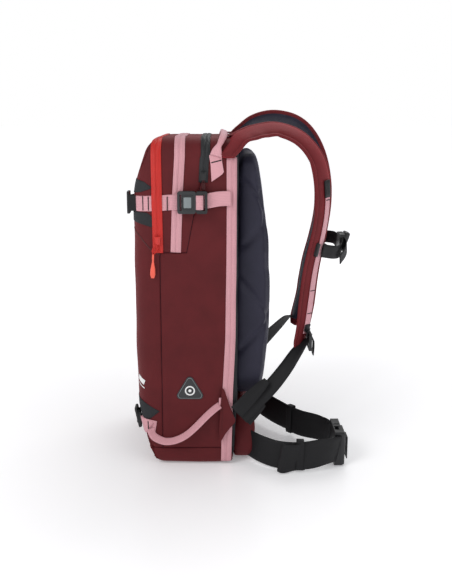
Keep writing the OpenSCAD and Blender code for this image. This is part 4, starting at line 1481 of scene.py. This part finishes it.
def rail_clip(line):
    """A moulded clip that wraps the rail, with a bar for the sternum webbing."""
    place = clip_place(line)
    slots = [rounded_outline(-0.0085, foot, 0.0085, foot + 5 * MM, 0.0012) for foot in (-0.0080, 0.0030)]
    plate = moulding("clip", [centred_outline(0.0135, 0.0125, 0.004)] + slots, 3.6 * MM, 0.9 * MM,
                     place @ Matrix.Translation((0, 0, 3.0 * MM)))
    cheeks = [moulding("cheek", [centred_outline(0.0022, 0.0115, 0.0015)], 6.5 * MM, 0.8 * MM,
                       place @ Matrix.Translation((shift, 0, 0))) for shift in (-0.0112, 0.0112)]
    return joined("clip", [plate] + cheeks)


clips = joined("rail_clips", [rail_clip(near), rail_clip(far)])
finish_piece(clips, black_plastic, "sternum", ["sternum_sliders"])


def sternum_web(line, end_x):
    """Webbing from a clip, out and round to the buckle in the middle."""
    share = line.share_at(CLIP_Z)
    start, up = line.on(share, min(1.0, share + 0.02), 0, 13.0 * MM)
    start, up = start[0], up[0]
    end = np.array((end_x, STERNUM_Y, STERNUM_Z))
    bow_out = (0, 0.013, -0.007) if line.side > 0 else (0, 0.015, -0.001)
    first_bend = start * 0.72 + (end - (0, 0.006, 0)) * 0.28 + bow_out
    points = [start, first_bend, start * 0.35 + end * 0.65 + (0, 0.009, -0.009), end]
    path = smooth_path(points, 3 * MM)
    share = np.linspace(0, 1, len(path))[:, None]
    facing = unit(up * (1 - share) + np.array((0, 1.0, 0)) * share)
    return sweep("web", path, facing, flat_section(23 * MM, 1.8 * MM))


def sternum_tail(side, end_x):
    """The spare end, folded back from the buckle and hanging a little."""
    hang = [(0, 3.2, 0), (12, 6, -4), (26, 2, -13), (40, -9, -24)]
    points = [(end_x + side * out * MM, STERNUM_Y + back * MM, STERNUM_Z + up * MM) for out, back, up in hang]
    return sweep("tail", smooth_path(points, 3 * MM), (0, 1, 0.15), flat_section(23 * MM, 1.8 * MM))


SOCKET_END, PLUG_END = low("sternum_socket").x + 3 * MM, high("sternum_plug").x - 4 * MM
plug_web = joined("sternum_plug_web", [sternum_web(near, PLUG_END), sternum_tail(1, PLUG_END)])
finish_piece(plug_web, black_webbing, "sternum_tongue", ["sternum_plug_webbing"])
socket_web = sternum_web(far, SOCKET_END)
socket_web.name = "sternum_socket_web"
finish_piece(socket_web, black_webbing, "sternum", ["sternum_webbing"])

# ---------------------------------------------------------------- hip belt

BELT_Z = middle("hip_wing_right").z
BELT_H = high("hip_wing_right").z - low("hip_wing_right").z
BELT_Y = middle("hip_socket").y
BELT_WEB = flat_section(BELT_H, 2.6 * MM, rows=8, edge=0.45)


def belt_run(points, wave, layer=0.0, section=BELT_WEB):
    """Belt webbing on edge along a path, gently waved; layer shifts it outwards."""
    path = smooth_path(points, 4 * MM)
    share = np.linspace(0, 1, len(path))
    side = unit(np.cross(tangents(path), (0, 0, 1)))
    path = path + side * (layer + wave * np.sin(share * 9))[:, None]
    lean = 0.16 * np.sin(share * 5)[:, None]
    return sweep("belt", path, unit(side + np.array((0, 0, 1)) * lean), section)


RIGHT_END, LEFT_END = high("hip_socket").x, low("hip_plug").x


def at_belt(points):
    """Turns points whose heights are counted from the belt's middle into points of the frame."""
    return [(x, y, BELT_Z + height) for x, y, height in points]


RIGHT_WING = at_belt([(0.098, 0.094, 0), (0.108, 0.109, -0.001), (0.128, 0.128, -0.003),
                      (0.146, 0.153, -0.005), (0.155, 0.180, -0.004), (0.156, 0.208, -0.001),
                      (0.153, 0.233, 0.003), (0.145, 0.250, 0.003),
                      (RIGHT_END - 0.006, BELT_Y - 1 * MM, 0)])
LEFT_WING = at_belt([(-0.098, 0.100, 0.012), (-0.088, 0.125, 0.011), (-0.060, 0.142, 0.009),
                     (-0.028, 0.163, 0.006), (0.002, 0.188, 0.003), (0.022, 0.213, 0.001),
                     (0.038, 0.240, 0), (0.054, 0.256, 0), (LEFT_END + 0.004, BELT_Y, 0)])
# The doubled part of each wing, between its keeper and the buckle
RIGHT_DOUBLE = RIGHT_WING[4:]
LEFT_DOUBLE = LEFT_WING[4:]

# The free end hangs from the right keeper, folded over
FOLD_H = 51 * MM
fold_points = at_belt([(0.1605, 0.1990, -0.003), (0.1635, 0.1830, -0.0045), (0.1655, 0.1670, -0.005),
                       (0.1630, 0.1590, -0.005), (0.1580, 0.1610, -0.005)])
fold = belt_run(fold_points, 0.0, 0.0, flat_section(FOLD_H, 2.6 * MM, rows=8))
right_runs = [belt_run(RIGHT_WING, 0.5 * MM), belt_run(RIGHT_DOUBLE, 0.6 * MM, 3.4 * MM), fold]
right_belt = joined("belt_wing_right", right_runs)
finish_piece(right_belt, black_webbing, None, ["hip_wing_right"])
left_runs = [belt_run(LEFT_WING, 0.5 * MM), belt_run(LEFT_DOUBLE, 0.6 * MM, 3.4 * MM)]
left_belt = joined("belt_wing_left", left_runs)
finish_piece(left_belt, black_webbing, "hip_tongue", ["hip_wing_left"])
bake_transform(right_belt)


def keeper_loop(place, width, height):
    """A loop of webbing round the belt, placed by a point and its turn about Z."""
    x, y, z, turn = place
    turn_points = [(-1, -0.9), (-1, 0), (-1, 0.9), (-0.6, 1), (0.6, 1), (1, 0.9),
                   (1, 0), (1, -0.9), (0.6, -1), (-0.6, -1), (-1, -0.9)]
    loop = smooth_path([(width / 2 * c, 0, height / 2 * s) for c, s in turn_points], 3 * MM)
    up = unit(loop * np.array([1, 0, 0.35]))
    piece = sweep("keeper", loop, up, flat_section(13 * MM, 1.8 * MM))
    piece.data.transform(Matrix.Translation((x, y, z)) @ Matrix.Rotation(turn, 4, "Z"))
    return piece


for name, body, place in (("right", "hip_belt", (0.1570, 0.1930, BELT_Z - 0.001, math.radians(-4))),
                          ("left", "hip_tongue", (0.0050, 0.1905, BELT_Z + 0.003, math.radians(-48)))):
    keeper = keeper_loop(place, 12 * MM, BELT_H + 4 * MM)
    keeper.name = "belt_keeper_" + name
    finish_piece(keeper, black_webbing, body, ["hip_keeper_" + name])

# ---------------------------------------------------------------- plain raised details on the buckles


def raised_panel(name, centre, x, y, half_x, half_y, material, body):
    """A low moulded frame and pad on a buckle's face, with no mark on it."""
    place = axes(centre, x, y)
    outer, opening, pad = [centred_outline(half_x - inset * MM, half_y - inset * MM, r * MM)
                           for inset, r in ((0, 2.2), (1.6, 1.2), (3.4, 1.5))]
    rim = moulding(name + "_rim", [outer, opening], 1.6 * MM, 0.35 * MM, place)
    inner = moulding(name, [pad], 1.2 * MM, 0.35 * MM, place)
    finish_piece(rim, slate_plastic, body)
    finish_piece(inner, material, body)


for side, name in ((1, "right"), (-1, "left")):
    face_x = side * (high("upper_buckle_sockets").x + 0.2 * MM)
    raised_panel("socket_face_" + name, (face_x, 0.0045, UPPER_STRAP_Z), (0, side, 0), (0, 0, 1),
                 9.5 * MM, 12 * MM, grey_plastic, "pack")
    # How far the webbing over the bar dips below the buckle's face in millimetres, at each y
    over_bar = [(0.9, 0.0186), (-0.9, 0.0206), (-1.1, 0.0262), (0.9, 0.0295)]
    bar_path = smooth_path([(face_x - side * dip * MM, y, UPPER_STRAP_Z) for dip, y in over_bar], 1.5 * MM)
    bar_web = sweep("plug_bar_web_" + name, bar_path, (side, 0, 0), flat_section(23 * MM, 1.6 * MM))
    finish_piece(bar_web, pink_webbing, "upper_plug_" + name)

# The cover over the sternum buckle leans forward by this much
STERNUM_TILT = math.radians(20)
cover_up = (0, math.sin(STERNUM_TILT), math.cos(STERNUM_TILT))
cover_centre = Vector((-0.0075, high("sternum_socket").y + 1.5 * MM, STERNUM_Z - 1 * MM))
cover_face = cover_centre + Vector((0, math.cos(STERNUM_TILT), -math.sin(STERNUM_TILT))) * 5.2 * MM
cover = moulding("sternum_buckle_cover", [centred_outline(0.0135, 0.0175, 0.005)], 10 * MM, 2 * MM,
                 axes(cover_centre, (-1, 0, 0), cover_up))
finish_piece(cover, black_plastic, "sternum")
raised_panel("sternum_face", cover_face, (-1, 0, 0), cover_up, 8 * MM, 11 * MM, slate_plastic, "sternum")

place = axes((0.1185, high("hip_socket").y - 1 * MM, BELT_Z), (-1, 0, 0), (0, 0, 1))
shell = moulding("belt_buckle_cover", [centred_outline(0.0205, 0.0305, 0.006)], 9 * MM, 2 * MM, place)
finish_piece(shell, black_plastic, "hip_belt")
raised_panel("belt_buckle_face", (0.1200, high("hip_socket").y + 8.2 * MM, BELT_Z), (-1, 0, 0), (0, 0, 1),
             13 * MM, 20 * MM, slate_plastic, "hip_belt")

# ---------------------------------------------------------------- anchors under the front buckles


def front_anchor(node, side):
    """Black webbing sewn to the patch and folded round the buckle's bar."""
    top = middle(node)
    points = [(side * 0.088, FRONT + 0.004, top.z), (side * 0.097, FRONT - 0.001, top.z),
              (side * 0.104, top.y + 3.5 * MM, top.z), (side * 0.110, top.y + 1.5 * MM, top.z),
              (side * 0.1125, top.y + 4 * MM, top.z), (side * 0.116, FRONT + 0.008, top.z)]
    return sweep("anchor", smooth_path(points, 2 * MM), (side * 0.3, -1, 0), flat_section(26 * MM, 2.2 * MM))


anchors = [front_anchor("front_buckle_" + level + "_" + name, side)
           for level in ("upper", "lower") for name, side in (("right", 1), ("left", -1))]
finish_piece(joined("front_anchors", anchors), black_webbing, "pack")

# A blank pale label, without print, near the lower front corner
label_line = [(0.110, FRONT + 0.002), (0.117, FRONT + 0.007), (0.1235, FRONT + 0.015)]
blank = []
for height, width in ((0.1520, 9.0 * MM), (0.1420, 1.6 * MM)):
    stripe = [(x, y, height + (0.117 - x) * 0.6) for x, y in label_line]
    blank.append(laid("blank", stripe, flat_section(width, 0.5 * MM, rows=2), 0.2 * MM))
finish_piece(joined("blank_front_label", blank), white_print, "pack")

# ---------------------------------------------------------------- floor, light and camera

AMBIENT = 0.45
# The floor gives this much light of its own below the bag, and this much from GLOW_REACH outwards; this glow
# is painted light, and its weaker part below the bag is a painted shadow
GLOW_NEAR, GLOW_FAR, GLOW_REACH = 0.16, 0.61, 1.5
CAMERA_PLACE = (1.400, 0.055, 0.600)
CAMERA_PITCH = 12.9  # degrees below level
CAMERA_LENS = 48.39  # millimetres, for a 36 mm picture height
CAMERA_SHIFT = 0.012


def add_floor():
    """A pale glossy floor that glows a little more further out: painted light, dimmer under the bag as a
    painted shadow.
    """
    work = bmesh.new()
    bmesh.ops.create_grid(work, x_segments=1, y_segments=1, size=30)
    mesh = bpy.data.meshes.new("floor")
    work.to_mesh(mesh)
    work.free()
    floor = new_object("floor", mesh)
    s = Shader("floor_paint")
    x, y = s.split(s.place())[:2]
    far = s.math("SQRT", s.math("ADD", s.math("MULTIPLY", x, x), s.math("MULTIPLY", y, y)))
    share = s.math("MINIMUM", s.math("DIVIDE", far, GLOW_REACH), 1.0)
    # Painted shadow under the bag: the floor's glow is weakest there and grows out to GLOW_REACH
    glow = s.math("MULTIPLY_ADD", share, GLOW_FAR - GLOW_NEAR, GLOW_NEAR)
    s.set(Base_Color=(0.95, 0.95, 0.96, 1), Roughness=0.3, Specular_IOR_Level=0.35,
          Emission_Color=(0.97, 0.97, 1.0, 1), Emission_Strength=glow)
    floor.data.materials.append(s.material)


def add_surroundings():
    """White all round: full strength for the camera, AMBIENT as a light."""
    world = bpy.data.worlds.new("studio")
    bpy.context.scene.world = world
    world.use_nodes = True
    backdrop = world.node_tree.nodes["Background"]
    backdrop.inputs["Color"].default_value = (1, 1, 1, 1)
    seen = world.node_tree.nodes.new("ShaderNodeLightPath").outputs["Is Camera Ray"]
    strength = world.node_tree.nodes.new("ShaderNodeMath")
    strength.operation = "MULTIPLY_ADD"
    strength.inputs[1].default_value = 1 - AMBIENT
    strength.inputs[2].default_value = AMBIENT
    world.node_tree.links.new(seen, strength.inputs[0])
    world.node_tree.links.new(strength.outputs[0], backdrop.inputs["Strength"])


def add_lamp(name, place, target, size, power):
    """A soft square lamp that looks at a point."""
    lamp = bpy.data.lights.new(name, "AREA")
    lamp.energy = power
    lamp.size = size
    obj = bpy.data.objects.new(name, lamp)
    obj.location = place
    obj.rotation_euler = (Vector(target) - Vector(place)).to_track_quat("-Z", "Y").to_euler()
    bpy.context.scene.collection.objects.link(obj)


def add_camera():
    """Beside the bag at shoulder-strap height, looking slightly down."""
    data = bpy.data.cameras.new("camera")
    obj = bpy.data.objects.new("camera", data)
    data.sensor_width = 36
    data.lens = CAMERA_LENS
    data.shift_x = CAMERA_SHIFT
    obj.location = CAMERA_PLACE
    obj.rotation_euler = (math.radians(90 - CAMERA_PITCH), 0, math.radians(90))
    bpy.context.scene.collection.objects.link(obj)
    bpy.context.scene.camera = obj


add_floor()
add_surroundings()
add_lamp("key", (1.6, -1.5, 1.9), (0, 0, 0.3), 1.2, 26)
add_lamp("fill", (1.8, 1.6, 1.0), (0, 0.1, 0.3), 1.6, 9)
add_lamp("back", (-1.2, 0.6, 2.0), (0, 0, 0.3), 1.4, 14)
add_camera()
bpy.context.scene.view_settings.view_transform = "Standard"
